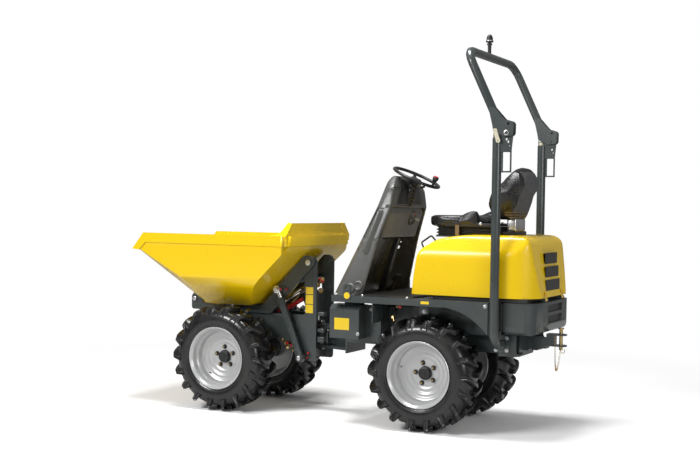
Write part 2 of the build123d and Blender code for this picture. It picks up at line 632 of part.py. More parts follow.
def skip():
    mouth = side_plate([(2203, RIM_Z), (LIP_X, 1139), (LIP_X, 1100), (2400, 1100), (2400, 1600),
                        (900, 1600), (900, RIM_Z)], -600, 600)
    tub = skip_form(0) - skip_form(WALL) - mouth
    return tub + skip_rim() + (skip_lugs() - skip_form(0))


# ---- cylinders ----
def ram(start, end, share, radius, half_eye, hole, side_y):
    """A cylinder's barrel and eye in the plane y = side_y, over a share of the way to its end."""
    a, b = (start[0], side_y, start[1]), (end[0], side_y, end[1])
    body = bar(a, between(a, b, share), radius)
    eye = cross_bar(start, side_y - half_eye, side_y + half_eye, radius + 4)
    return body + eye - cross_bar(start, side_y - 2 * radius, side_y + 2 * radius, hole, ROUND)


def lift_barrels():
    one = ram(LIFT_FOOT, LIFT_HEAD, 0.87, 27, 20, 16.05, LIFT_Y)
    bore = bar(between((LIFT_FOOT[0], LIFT_Y, LIFT_FOOT[1]), (LIFT_HEAD[0], LIFT_Y, LIFT_HEAD[1]), 0.1),
               (LIFT_HEAD[0], LIFT_Y, LIFT_HEAD[1]), LIFT_ROD_R + 0.1)
    return both_sides(one - bore)


def lift_rods():
    foot, head = (LIFT_FOOT[0], LIFT_Y, LIFT_FOOT[1]), (LIFT_HEAD[0], LIFT_Y, LIFT_HEAD[1])
    rod = bar(between(foot, head, 0.14), head, LIFT_ROD_R)
    eye = cross_bar(LIFT_HEAD, LIFT_Y - 20, LIFT_Y + 20, 27)
    eye += cross_bar(LIFT_HEAD, LIFT_Y + 20, LIFT_Y + 29, 20)
    return both_sides(rod + eye)


def steer_barrel():
    root, lug = (*STEER_ROOT, STEER_Z), (*STEER_LUG, STEER_Z)
    barrel = bar(between(root, lug, 0.03), between(root, lug, 0.6), 24)
    bore = bar(between(root, lug, 0.06), lug, 14.1)
    eye = upright(STEER_ROOT, STEER_Z - 18, STEER_Z + 18, 24)
    return barrel + eye - bore - upright(STEER_ROOT, STEER_Z - 26, STEER_Z + 26, 12.05, ROUND)


def steer_rod():
    root, lug = (*STEER_ROOT, STEER_Z), (*STEER_LUG, STEER_Z)
    return bar(between(root, lug, 0.35), lug, 14) + upright(STEER_LUG, STEER_Z - 18, STEER_Z + 18, 20)


def arm_pipes():
    """Two hard hydraulic pipes that run down between the lift arms."""
    route = [(1085, 100, 948), (1290, 100, 740), (ARM_TIE[0], 100, ARM_TIE[1])]
    return both_sides(bent_tube(route, 8, 40, 8)) - lift_arms()


def tip_points():
    return (TIP_ROOT[0], 0.0, TIP_ROOT[1]), (TIP_LEVER[0], 0.0, TIP_LEVER[1])


def tip_rod():
    root, end = tip_points()
    rod = bar(between(root, end, 0.02), between(root, end, 0.567), 22)
    eye = cross_bar(TIP_ROOT, -26, 26, 30)
    return (rod + eye) - cross_bar(TIP_ROOT, -27, 27, 16.05, ROUND)


def tip_barrel():
    root, end = tip_points()
    barrel = bar(between(root, end, 0.44), between(root, end, 0.94), 33)
    barrel += bar(between(root, end, 0.93), end, 24)
    bore = bar(between(root, end, 0.43), between(root, end, 0.93), 22.1)
    eye = cross_bar(TIP_LEVER, -38, 38, 30)
    return (barrel - bore) + eye


def main():
    os.makedirs("parts", exist_ok=True)
    save_wheels()
    pieces = {
        "rear_frame": rear_frame, "steering_pin": steering_pin, "deck": deck,
        "mudguards": mudguards, "side_box_left": lambda: side_box(1),
        "side_box_right": lambda: side_box(-1),
        "engine_block": engine_block, "hood": hood, "rear_ballast": rear_ballast,
        "tow_hitch": tow_hitch, "tow_pin": tow_pin, "rops_posts": rops_posts,
        "rops_hoop": rops_hoop, "beacon": beacon, "dash_console": dash_console,
        "knee_bolster": knee_bolster, "console_pillar": console_pillar,
        "steering_column": steering_column, "steering_wheel": steering_wheel, "pedals": pedals,
        "seat_base": seat_base, "seat_cushion": seat_cushion, "seat_back": seat_back,
        "hood_handle": hood_handle, "front_frame": front_frame, "lift_arms": lift_arms,
        "skip": skip, "lift_barrels": lift_barrels, "lift_rods": lift_rods, "tip_rod": tip_rod,
        "tip_barrel": tip_barrel, "steer_barrel": steer_barrel, "steer_rod": steer_rod,
        "arm_pipes": arm_pipes,
    }
    for name, make in pieces.items():
        save(name, make())


main()
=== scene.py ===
# %% [markdown]
# # A site dumper, finished in Blender
#
# The machine's solids come from CAD and stay where they are. This lesson gives every one of them
# a finish, and replaces the pieces whose look depends on soft or finely moulded shapes: tyres,
# hood, console, the padded seat and small fittings. The frame is loaded first.

# %% Load the frame
import json
import math

import bpy
import bmesh
from mathutils import Matrix, Vector


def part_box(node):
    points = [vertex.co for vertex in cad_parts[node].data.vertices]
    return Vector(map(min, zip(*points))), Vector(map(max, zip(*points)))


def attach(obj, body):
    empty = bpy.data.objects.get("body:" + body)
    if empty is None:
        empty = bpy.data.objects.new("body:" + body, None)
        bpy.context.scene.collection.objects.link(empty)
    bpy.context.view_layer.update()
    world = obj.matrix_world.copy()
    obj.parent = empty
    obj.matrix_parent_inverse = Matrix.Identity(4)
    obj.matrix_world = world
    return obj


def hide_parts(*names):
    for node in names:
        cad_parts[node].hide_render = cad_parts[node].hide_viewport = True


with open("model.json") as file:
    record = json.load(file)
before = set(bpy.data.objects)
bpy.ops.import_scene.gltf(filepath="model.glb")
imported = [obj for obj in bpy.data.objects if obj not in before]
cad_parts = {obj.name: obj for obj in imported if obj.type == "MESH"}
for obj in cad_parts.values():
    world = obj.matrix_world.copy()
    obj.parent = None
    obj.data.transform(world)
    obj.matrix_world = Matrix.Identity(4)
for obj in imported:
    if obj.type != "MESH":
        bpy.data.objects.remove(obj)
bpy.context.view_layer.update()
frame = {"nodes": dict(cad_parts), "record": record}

NODES = frame["nodes"]

# %% [markdown]
# ## Scene settings and camera
#
# The camera stands behind the machine and to its left, almost level, with a long lens, so that
# near and far wheels look nearly the same size. Its place is written from the rear axle and then
# moved into the frame. The Standard view transform keeps colours as written.

# %% Camera
REAR_AXLE = sum((p.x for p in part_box("rim_rear_left")), 0.0) / 2
WHEEL_HEIGHT = sum((p.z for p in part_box("rim_rear_left")), 0.0) / 2
FRONT_AXLE = sum((p.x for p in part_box("rim_front_left")), 0.0) / 2
WHEEL_Y = sum((p.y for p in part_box("rim_rear_left")), 0.0) / 2


def from_axle(x, y, z):
    """A point in metres whose x is counted from the rear axle."""
    return Vector((REAR_AXLE + x, y, z))


def look(yaw, pitch, roll):
    """The camera's turn: yaw from straight across the machine, pitch below the horizon, roll."""
    yaw, pitch, roll = (math.radians(a) for a in (yaw, pitch, roll))
    ahead = Vector((math.sin(yaw) * math.cos(pitch), -math.cos(yaw) * math.cos(pitch),
                    -math.sin(pitch)))
    right = ahead.cross(Vector((0, 0, 1))).normalized()
    up = right.cross(ahead)
    right, up = (math.cos(roll) * right + math.sin(roll) * up,
                 math.cos(roll) * up - math.sin(roll) * right)
    return Matrix((right, up, -ahead)).transposed()


scene = bpy.context.scene
scene.view_settings.view_transform = "Standard"
bpy.ops.object.camera_add(location=from_axle(-2.984, 7.440, 1.458))
camera = bpy.context.object
camera.name = "camera"
camera.rotation_euler = look(26.67, 1.20, 0.91).to_euler()
camera.data.lens = 59.86
camera.data.sensor_width = 36.0
scene.camera = camera

# %% [markdown]
# ## World and lamps
#
# A white studio has no visible walls, so the world shows white to the camera and through glass,
# and lights the machine only softly. Three wide lamps do the rest: a key from the camera's left, a
# fill from the rear and a top light. Wide lamps give soft shadows and long highlights on paint.

# %% World and lamps
def world_light(strength, seen):
    world = bpy.data.worlds.new("studio")
    world.use_nodes = True
    scene.world = world
    tree = world.node_tree
    background = tree.nodes["Background"]
    background.inputs["Color"].default_value = (1, 1, 1, 1)
    path = tree.nodes.new("ShaderNodeLightPath")
    seen_or_mirrored = tree.nodes.new("ShaderNodeMath")
    seen_or_mirrored.operation = "ADD"
    seen_or_mirrored.use_clamp = True
    tree.links.new(path.outputs["Is Camera Ray"], seen_or_mirrored.inputs[0])
    tree.links.new(path.outputs["Is Transmission Ray"], seen_or_mirrored.inputs[1])
    level = tree.nodes.new("ShaderNodeMapRange")
    level.inputs["To Min"].default_value = strength
    level.inputs["To Max"].default_value = seen
    tree.links.new(seen_or_mirrored.outputs[0], level.inputs["Value"])
    tree.links.new(level.outputs[0], background.inputs["Strength"])


def lamp(name, place, target, size, watts):
    bpy.ops.object.light_add(type="AREA", location=place)
    light = bpy.context.object
    light.name = name
    light.data.shape = "RECTANGLE"
    light.data.size, light.data.size_y = size
    light.data.energy = watts
    light.rotation_euler = (Vector(target) - Vector(place)).to_track_quat("-Z", "Y").to_euler()
    return light


world_light(0.24, 1.0)
MIDDLE = (0.0, 0.0, 0.9)
lamp("key", (2.6, 6.2, 4.6), MIDDLE, (2.6, 1.8), 340)
lamp("fill", (-6.0, 3.4, 2.6), MIDDLE, (2.4, 2.4), 90)
lamp("top", (0.0, 0.6, 5.6), (0.0, 0.0, 0.0), (2.2, 1.5), 250)

# %% [markdown]
# ## Floor
#
# One large plane is enough. A Light Path node tells the camera's rays from all others, so the
# floor can look paler than it is without throwing more light up at the machine.

# %% Floor
bpy.ops.mesh.primitive_plane_add(size=60, location=(0, 0, 0))
floor = bpy.context.object
floor.name = "floor"


def floor_finish():
    """Keeps the machine's shadow near it, and fades to plain white further off: no horizon."""
    finish = bpy.data.materials.new("studio floor")
    finish.use_nodes = True
    tree = finish.node_tree
    tree.nodes.clear()
    new, link = tree.nodes.new, tree.links.new
    path = new("ShaderNodeLightPath")
    paleness = new("ShaderNodeMapRange")
    paleness.inputs["To Min"].default_value = 0.62
    paleness.inputs["To Max"].default_value = 1.35
    link(path.outputs["Is Camera Ray"], paleness.inputs["Value"])
    diffuse = new("ShaderNodeBsdfDiffuse")
    link(paleness.outputs[0], diffuse.inputs["Color"])
    where = new("ShaderNodeTexCoord")
    reach = new("ShaderNodeVectorMath")
    reach.operation = "LENGTH"
    link(where.outputs["Object"], reach.inputs[0])
    far = new("ShaderNodeMapRange")
    far.interpolation_type = "SMOOTHSTEP"
    far.inputs["From Min"].default_value = 2.2
    far.inputs["From Max"].default_value = 5.0
    link(reach.outputs["Value"], far.inputs["Value"])
    far_and_seen = new("ShaderNodeMath")
    far_and_seen.operation = "MULTIPLY"
    link(far.outputs[0], far_and_seen.inputs[0])
    link(path.outputs["Is Camera Ray"], far_and_seen.inputs[1])
    white = new("ShaderNodeEmission")
    blend = new("ShaderNodeMixShader")
    out = new("ShaderNodeOutputMaterial")
    link(far_and_seen.outputs[0], blend.inputs["Fac"])
    link(diffuse.outputs[0], blend.inputs[1])
    link(white.outputs[0], blend.inputs[2])
    link(blend.outputs[0], out.inputs["Surface"])
    return finish


floor.data.materials.append(floor_finish())
print("floor ready, camera at", [round(c, 3) for c in camera.location])

# %% [markdown]
# ## Finishes
#
# Paint, rubber and moulded plastic share two effects, so each effect is a node group. The first
# lays thin dust on a colour in soft patches and makes it duller there. The second gives the fine
# relief of orange peel, rubber skin or moulded grain as a height, which a Bump node in each
# material turns into a normal. Every pattern reads Object coordinates, which are the frame's own
# metres, so its scale is real and it rides with the piece.

# %% Node helpers
def new_group(name, inputs, outputs):
    group = bpy.data.node_groups.new(name, "ShaderNodeTree")
    for socket, kind, value in inputs:
        made = group.interface.new_socket(name=socket, in_out="INPUT", socket_type=kind)
        made.default_value = value
    for socket, kind in outputs:
        group.interface.new_socket(name=socket, in_out="OUTPUT", socket_type=kind)
    start = group.nodes.new("NodeGroupInput")
    end = group.nodes.new("NodeGroupOutput")
    return group, start, end


def noise(tree, where, detail=4.0, scale=None, scale_from=None):
    node = tree.nodes.new("ShaderNodeTexNoise")
    node.inputs["Detail"].default_value = detail
    tree.links.new(where, node.inputs["Vector"])
    if scale_from is not None:
        tree.links.new(scale_from, node.inputs["Scale"])
    else:
        node.inputs["Scale"].default_value = scale
    return node


def remap(tree, value, low, high, to_low=0.0, to_high=1.0):
    node = tree.nodes.new("ShaderNodeMapRange")
    node.inputs["From Min"].default_value = low
    node.inputs["From Max"].default_value = high
    node.inputs["To Min"].default_value = to_low
    node.inputs["To Max"].default_value = to_high
    tree.links.new(value, node.inputs["Value"])
    return node.outputs[0]


def arithmetic(tree, operation, first, second):
    node = tree.nodes.new("ShaderNodeMath")
    node.operation = operation
    for value, socket in ((first, node.inputs[0]), (second, node.inputs[1])):
        if isinstance(value, (int, float)):
            socket.default_value = value
        else:
            tree.links.new(value, socket)
    return node.outputs[0]


# %% [markdown]
# ## Dust in patches
#
# Broad noise says where dust lies, fine noise breaks it into specks, and the two multiplied are
# the mask. Dust changes the colour by that mask, and the roughness wherever the patches are.

# %% Dust
def dust_group():
    group, start, end = new_group(
        "dust in patches",
        [("Colour", "NodeSocketColor", (1, 1, 1, 1)), ("Dust colour", "NodeSocketColor", (1, 1, 1, 1)),
         ("Dust", "NodeSocketFloat", 0.1), ("Patches", "NodeSocketFloat", 4.0),
         ("Clean roughness", "NodeSocketFloat", 0.3), ("Dusty roughness", "NodeSocketFloat", 0.6)],
        [("Colour", "NodeSocketColor"), ("Roughness", "NodeSocketFloat")])
    where = group.nodes.new("ShaderNodeTexCoord").outputs["Object"]
    broad = noise(group, where, 6.0, scale_from=start.outputs["Patches"])
    fine = noise(group, where, 3.0, scale=90.0)
    patches = remap(group, broad.outputs["Fac"], 0.38, 0.68)
    specks = remap(group, fine.outputs["Fac"], 0.3, 0.7, 0.6, 1.0)
    mask = arithmetic(group, "MULTIPLY", arithmetic(group, "MULTIPLY", patches, specks),
                      start.outputs["Dust"])
    mix = group.nodes.new("ShaderNodeMix")
    mix.data_type = "RGBA"
    group.links.new(mask, mix.inputs["Factor"])
    group.links.new(start.outputs["Colour"], mix.inputs[6])
    group.links.new(start.outputs["Dust colour"], mix.inputs[7])
    group.links.new(mix.outputs[2], end.inputs["Colour"])
    dull = group.nodes.new("ShaderNodeMix")
    group.links.new(patches, dull.inputs["Factor"])
    group.links.new(start.outputs["Clean roughness"], dull.inputs[2])
    group.links.new(start.outputs["Dusty roughness"], dull.inputs[3])
    group.links.new(dull.outputs[0], end.inputs["Roughness"])
    return group


# %% [markdown]
# ## Fine relief
#
# Grain and a slow waviness are added into one height. It is kept tiny, because real paint and
# rubber are nearly flat, and only their highlights show the relief.

# %% Relief
def relief_group():
    group, start, end = new_group(
        "fine relief",
        [("Size per metre", "NodeSocketFloat", 300.0), ("Waviness", "NodeSocketFloat", 0.3)],
        [("Height", "NodeSocketFloat")])
    where = group.nodes.new("ShaderNodeTexCoord").outputs["Object"]
    grain = noise(group, where, 2.0, scale_from=start.outputs["Size per metre"])
    slow = noise(group, where, 1.0, scale=9.0)
    waves = arithmetic(group, "MULTIPLY", slow.outputs["Fac"], start.outputs["Waviness"])
    group.links.new(arithmetic(group, "ADD", grain.outputs["Fac"], waves), end.inputs["Height"])
    return group


DUST, RELIEF = dust_group(), relief_group()
print("groups:", DUST.name, "and", RELIEF.name)

# %% [markdown]
# ## One recipe, many finishes
#
# Each finish is a Principled shader with the two groups feeding it. What is the same all over,
# such as the metallic value or the coat of lacquer, is set on the shader's own socket.

# %% Finish recipe
def finish(name, colour, roughness, dusty=None, dust=0.12, dust_colour=(0.45, 0.42, 0.37),
           patches=3.0, grain=500.0, depth=0.0002, metallic=0.0, coat=0.0, waviness=0.3):
    """A material: colour and roughness of the clean surface, then its dust and its relief."""
    made = bpy.data.materials.new(name)
    made.use_nodes = True
    tree = made.node_tree
    shader = tree.nodes["Principled BSDF"]
    shader.inputs["Metallic"].default_value = metallic
    shader.inputs["Coat Weight"].default_value = coat
    shader.inputs["Coat Roughness"].default_value = 0.08
    layer = tree.nodes.new("ShaderNodeGroup")
    layer.node_tree = DUST
    for socket, value in (("Colour", (*colour, 1)), ("Dust colour", (*dust_colour, 1)),
                          ("Dust", dust), ("Patches", patches), ("Clean roughness", roughness),
                          ("Dusty roughness", dusty if dusty is not None else roughness + 0.15)):
        layer.inputs[socket].default_value = value
    tree.links.new(layer.outputs["Colour"], shader.inputs["Base Color"])
    tree.links.new(layer.outputs["Roughness"], shader.inputs["Roughness"])
    relief = tree.nodes.new("ShaderNodeGroup")
    relief.node_tree = RELIEF
    relief.inputs["Size per metre"].default_value = grain
    relief.inputs["Waviness"].default_value = waviness
    bump = tree.nodes.new("ShaderNodeBump")
    bump.inputs["Distance"].default_value = depth
    bump.inputs["Strength"].default_value = 0.6
    tree.links.new(relief.outputs["Height"], bump.inputs["Height"])
    tree.links.new(bump.outputs["Normal"], shader.inputs["Normal"])
    return made


# %% [markdown]
# ## The machine's finishes
#
# The colours are linear values. Yellow is kept free of dust, because it is the newest paint on
# the machine and any grey in it looks like a stain. Rubber is almost black but has a coat, since
# fresh tyres shine at their edges. Zinc and chrome are the only real metals.

# %% Finishes
YELLOW = finish("yellow paint", (0.93, 0.62, 0.001), 0.27, 0.28, dust=0.0, grain=240,
                depth=0.00005, coat=0.2)
GREY = finish("green-grey powder coat", (0.044, 0.054, 0.054), 0.24, 0.34, dust=0.05, grain=700,
              depth=0.00015, coat=0.3)
RIM = finish("silver wheel paint", (0.56, 0.565, 0.565), 0.3, 0.38, dust=0.05, grain=600,
             metallic=0.35, coat=0.3)
RUBBER = finish("tyre rubber", (0.0055, 0.0055, 0.006), 0.24, 0.34, dust=0.03, patches=6.0, grain=700,
                depth=0.0003, coat=0.35)
CONSOLE = finish("grained console moulding", (0.085, 0.087, 0.083), 0.24, 0.32, dust=0.05, grain=1100,
                 depth=0.0004)
BLACK = finish("black moulding", (0.012, 0.012, 0.013), 0.36, 0.5, dust=0.05, grain=1000)
VINYL = finish("seat vinyl", (0.011, 0.011, 0.012), 0.27, 0.36, dust=0.02, grain=800, depth=0.0004)
CHROME = finish("hard chrome", (0.78, 0.76, 0.7), 0.12, 0.2, dust=0.05, grain=200, metallic=1.0,
                depth=0.00005)
ZINC = finish("yellow zinc", (0.62, 0.47, 0.2), 0.3, 0.45, dust=0.1, grain=400, metallic=1.0)
SILVER = finish("bright zinc", (0.66, 0.66, 0.66), 0.3, 0.42, dust=0.08, grain=400, metallic=1.0)
CASTING = finish("painted casting", (0.03, 0.034, 0.035), 0.42, 0.6, dust=0.2, grain=350,
                 depth=0.001)
MARKER = finish("yellow marker plate", (0.9, 0.62, 0.01), 0.35, 0.45, dust=0.04, grain=300)
RED = finish("red cap", (0.55, 0.012, 0.012), 0.35, 0.5, dust=0.05, grain=300)

# %% [markdown]
# ## Which node gets which finish
#
# One table names every node that isn't grey. A name that ends in _ stands for all nodes that start
# with it. Nodes that a piece replaces later are painted too.

# %% Paint table
PAINT = {
    "rim_": RIM, "tyre_": RUBBER, "hood": YELLOW, "skip": YELLOW, "hood_handle": BLACK,
    "dash_console": CONSOLE, "knee_bolster": CONSOLE, "seat_base": BLACK, "seat_cushion": VINYL,
    "seat_back": VINYL, "steering_column": BLACK, "steering_wheel": BLACK, "pedals": BLACK,
    "beacon": BLACK, "console_pillar": BLACK, "tow_pin": ZINC, "tip_rod": CHROME,
    "lift_rods": CHROME, "steer_rod": CHROME, "arm_pipes": ZINC, "front_axle": CASTING,
    "rear_axle": CASTING, "engine_block": CASTING, "steering_pin": CHROME,
}


def paint_for(node):
    if node in PAINT:
        return PAINT[node]
    for start, made in PAINT.items():
        if start.endswith("_") and node.startswith(start):
            return made
    return GREY


for node, solid in NODES.items():
    solid.data.materials.clear()
    solid.data.materials.append(paint_for(node))
print("painted", len(NODES), "nodes")

# %% [markdown]
# ## Tools for modelling
#
# Every new piece starts as a primitive and is shaped in edit mode. Operators act on whatever is
# selected, so each helper first clears the selection, and faces or points are then selected in
# code by where they are. One table read from the frame's record says which body carries a node.

# %% Selecting
BODY_OF = {node: body for body, nodes in frame["record"]["behaviour"]["bodies"].items()
           for node in nodes}


def clear_selection():
    if bpy.context.object and bpy.context.object.mode == "EDIT":
        bpy.ops.object.mode_set(mode="OBJECT")
    bpy.ops.object.select_all(action="DESELECT")


def take(piece):
    clear_selection()
    piece.select_set(True)
    bpy.context.view_layer.objects.active = piece
    return piece


def open_edit(piece):
    take(piece)
    bpy.ops.object.mode_set(mode="EDIT")
    bpy.ops.mesh.select_all(action="SELECT")


def select_faces(piece, test):
    """In edit mode: select the faces whose middle and normal pass a test."""
    bpy.ops.mesh.select_all(action="DESELECT")
    bpy.ops.mesh.select_mode(type="FACE")
    mesh = bmesh.from_edit_mesh(piece.data)
    for face in mesh.faces:
        face.select_set(bool(test(face.calc_center_median(), face.normal)))
    bmesh.update_edit_mesh(piece.data)


def select_points(piece, test):
    """In edit mode: select the vertices whose place passes a test."""
    bpy.ops.mesh.select_all(action="DESELECT")
    bpy.ops.mesh.select_mode(type="VERT")
    mesh = bmesh.from_edit_mesh(piece.data)
    for point in mesh.verts:
        point.select_set(bool(test(point.co)))
    mesh.select_flush(True)
    bmesh.update_edit_mesh(piece.data)


# %% [markdown]
# ## Copies, joins and the hand-over
#
# A finished piece stands at the origin with its place in its mesh, as the CAD nodes do. So one
# function settles it, names it, gives it its finish and parents it to an empty for the body that
# carries it.

# %% Copies and hand-over
def apply_modifier(piece, kind, **settings):
    take(piece)
    modifier = piece.modifiers.new(kind.title(), kind)
    for name, value in settings.items():
        setattr(modifier, name, value)
    bpy.ops.object.modifier_apply(modifier=modifier.name)


def copy_of(piece):
    twin = piece.copy()
    twin.data = piece.data.copy()
    bpy.context.collection.objects.link(twin)
    return twin


def settle(piece):
    """Put the piece's place, turn and size into its mesh."""
    take(piece)
    bpy.ops.object.transform_apply(location=True, rotation=True, scale=True)
    return piece


def mirrored(piece):
    """A copy on the other side of the machine's middle plane."""
    twin = copy_of(piece)
    twin.scale = (1, -1, 1)
    settle(twin)
    open_edit(twin)
    bpy.ops.mesh.normals_make_consistent(inside=False)
    bpy.ops.object.mode_set(mode="OBJECT")
    return twin


def joined(pieces):
    take(pieces[0])
    for piece in pieces:
        piece.select_set(True)
    bpy.ops.object.join()
    return bpy.context.object


def hand_over(piece, name, body, made, smooth=30, stands_for=()):
    """Name and finish a piece, and parent it to an empty for the body it rides on."""
    settle(piece)
    if smooth:
        bpy.ops.object.shade_smooth_by_angle(angle=math.radians(smooth))
    piece.name = piece.data.name = name
    piece.data.materials.clear()
    piece.data.materials.append(made)
    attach(piece, body)
    if stands_for:
        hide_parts(*stands_for)
    return piece


# %% [markdown]
# ## Turned forms, bars and blocks
#
# What a wheel or a tube needs most is a lathe. The plainest lathe is a circle that is extruded and
# resized ring by ring, which keeps full control over every step of its section. Bars are turned
# too, and blocks are cubes with rounded edges.

# %% Lathe, bar, block and bolt
def lathe(section, steps, ring=False):
    """A turned form about Z from rows of radius and height; a ring closes on its first row."""
    clear_selection()
    radius, height = section[0]
    bpy.ops.mesh.primitive_circle_add(vertices=steps, radius=radius, fill_type="NOTHING")
    piece = bpy.context.object
    bpy.ops.object.mode_set(mode="EDIT")
    bpy.ops.mesh.select_all(action="SELECT")
    bpy.ops.transform.translate(value=(0, 0, height))
    if not ring:
        bpy.ops.mesh.edge_face_add()
    for next_radius, next_height in section[1:]:
        bpy.ops.mesh.extrude_edges_move(TRANSFORM_OT_translate={
            "value": (0, 0, next_height - height)})
        share = next_radius / radius
        bpy.ops.transform.resize(value=(share, share, 1), center_override=(0, 0, next_height))
        radius, height = next_radius, next_height
    if ring:
        bpy.ops.mesh.select_all(action="DESELECT")
        bpy.ops.mesh.select_mode(type="EDGE")
        bpy.ops.mesh.select_non_manifold()
        bpy.ops.mesh.bridge_edge_loops()
    else:
        bpy.ops.mesh.edge_face_add()
    bpy.ops.mesh.select_all(action="SELECT")
    bpy.ops.mesh.normals_make_consistent(inside=False)
    bpy.ops.object.mode_set(mode="OBJECT")
    return piece


def stood(piece, place, way):
    """Turn a form's Z onto a direction and move it to its place."""
    piece.rotation_euler = Vector(way).to_track_quat("Z", "X").to_euler()
    piece.location = place
    return settle(piece)


def round_bar(start, end, radius, steps=24, edge=0.002):
    """A bar with broken edges from one point to another."""
    start, end = Vector(start), Vector(end)
    length = (end - start).length
    edge = min(edge, radius / 3, length / 3)
    piece = lathe([(radius - edge, 0), (radius, edge), (radius, length - edge),
                   (radius - edge, length)], steps)
    return stood(piece, start, end - start)


def soft_block(low, high, edge, segments=3):
    """A cube primitive between two corners, its edges rounded."""
    clear_selection()
    low, high = Vector(low), Vector(high)
    bpy.ops.mesh.primitive_cube_add(size=1, location=(low + high) / 2)
    piece = bpy.context.object
    piece.scale = high - low
    settle(piece)
    open_edit(piece)
    bpy.ops.mesh.bevel(offset=edge, segments=segments, affect="EDGES")
    bpy.ops.object.mode_set(mode="OBJECT")
    return piece


def hexagon_bolt(place, way, across=0.010, height=0.008):
    """A hexagon head on its washer, which is what holds nearly every plate on the machine."""
    clear_selection()
    bpy.ops.mesh.primitive_cylinder_add(vertices=6, radius=across, depth=height,
                                        location=(0, 0, height / 2 + 0.002))
    head = bpy.context.object
    settle(head)
    open_edit(head)
    select_faces(head, lambda middle, normal: normal.z > 0.9)
    bpy.ops.mesh.bevel(offset=across * 0.16, segments=1, affect="EDGES")
    bpy.ops.object.mode_set(mode="OBJECT")
    washer = lathe([(across * 1.25, 0), (across * 1.35, 0.0008), (across * 1.3, 0.002)], 20)
    return stood(joined([washer, head]), place, way)


print("helpers ready;", len(BODY_OF), "nodes have a body")

# %% [markdown]
# ## Plates, tubes and castings: the CAD surfaces, merged and smoothed
#
# Welded plates and bent tubes already have their true shape in CAD. Their meshes are loose
# triangles, though, and loose triangles can't share a smooth normal, so a bent tube would show
# its flats. A copy of each is merged, flat parts lose their inner edges, and shading is smooth
# wherever neighbouring faces meet at less than a set angle.

# %% Smoothed copies
SMOOTHED = {
    "skip": 32, "rops_posts": 36, "rops_hoop": 36, "rear_ballast": 32, "deck": 30,
    "mudguards": 30, "side_box_left": 20, "side_box_right": 20, "lift_arms": 34,
    "front_frame": 34, "rear_frame": 34,
    "front_axle": 34, "rear_axle": 34, "lift_barrels": 36, "lift_rods": 36, "tip_barrel": 36,
    "tip_rod": 36, "steer_barrel": 36, "steer_rod": 36, "arm_pipes": 50, "tow_hitch": 30,
    "tow_pin": 36, "hood_handle": 65, "steering_column": 34, "console_pillar": 30, "pedals": 34,
    "steering_pin": 30,
}


def smoothed_copy(node, angle):
    piece = copy_of(NODES[node])
    open_edit(piece)
    bpy.ops.mesh.remove_doubles(threshold=0.00002)
    bpy.ops.mesh.dissolve_limited(angle_limit=math.radians(0.5))
    bpy.ops.object.mode_set(mode="OBJECT")
    hand_over(piece, node + "_dressed", BODY_OF[node], paint_for(node), angle, (node,))
    apply_modifier(piece, "WEIGHTED_NORMAL", keep_sharp=True)
    return piece


for node, angle in SMOOTHED.items():
    smoothed_copy(node, angle)
print("smoothed", len(SMOOTHED), "nodes")

# %% [markdown]
# ## Tyres
#
# A traction tyre is a round carcass with bars of rubber that run from the middle of the tread
# over the shoulder and a little way down the sidewall, where each ends in a hollow foot. The
# carcass is turned as a closed ring, with a bead, a moulded line on the sidewall and a round
# shoulder. It is made about its own axle and moved to each wheel at the end.

# %% Carcass
LUGS = 18


def turned_about_axle(piece):
    return stood(piece, (0, 0, 0), (0, 1, 0))


def carcass():
    half = [(0.2075, 0.104), (0.2085, 0.116), (0.216, 0.1205), (0.222, 0.1175), (0.226, 0.1195),
            (0.232, 0.1245), (0.236, 0.1255), (0.240, 0.1245), (0.246, 0.1268), (0.270, 0.1285),
            (0.290, 0.1268), (0.309, 0.121), (0.325, 0.110), (0.337, 0.096), (0.343, 0.079),
            (0.346, 0.055), (0.347, 0.02)]
    section = half + [(radius, -across) for radius, across in reversed(half)]
    return turned_about_axle(lathe(section, 72, ring=True))


# %% [markdown]
# ## One traction bar
#
# The bar is modelled from a cube. Cuts across it let it bend with the tread and lean forward, and
# its foot is drawn down the sidewall, inset and pushed in, which leaves the hollow that such feet
# have. Then it is copied round both sides of the tyre, with the second side half a step later.

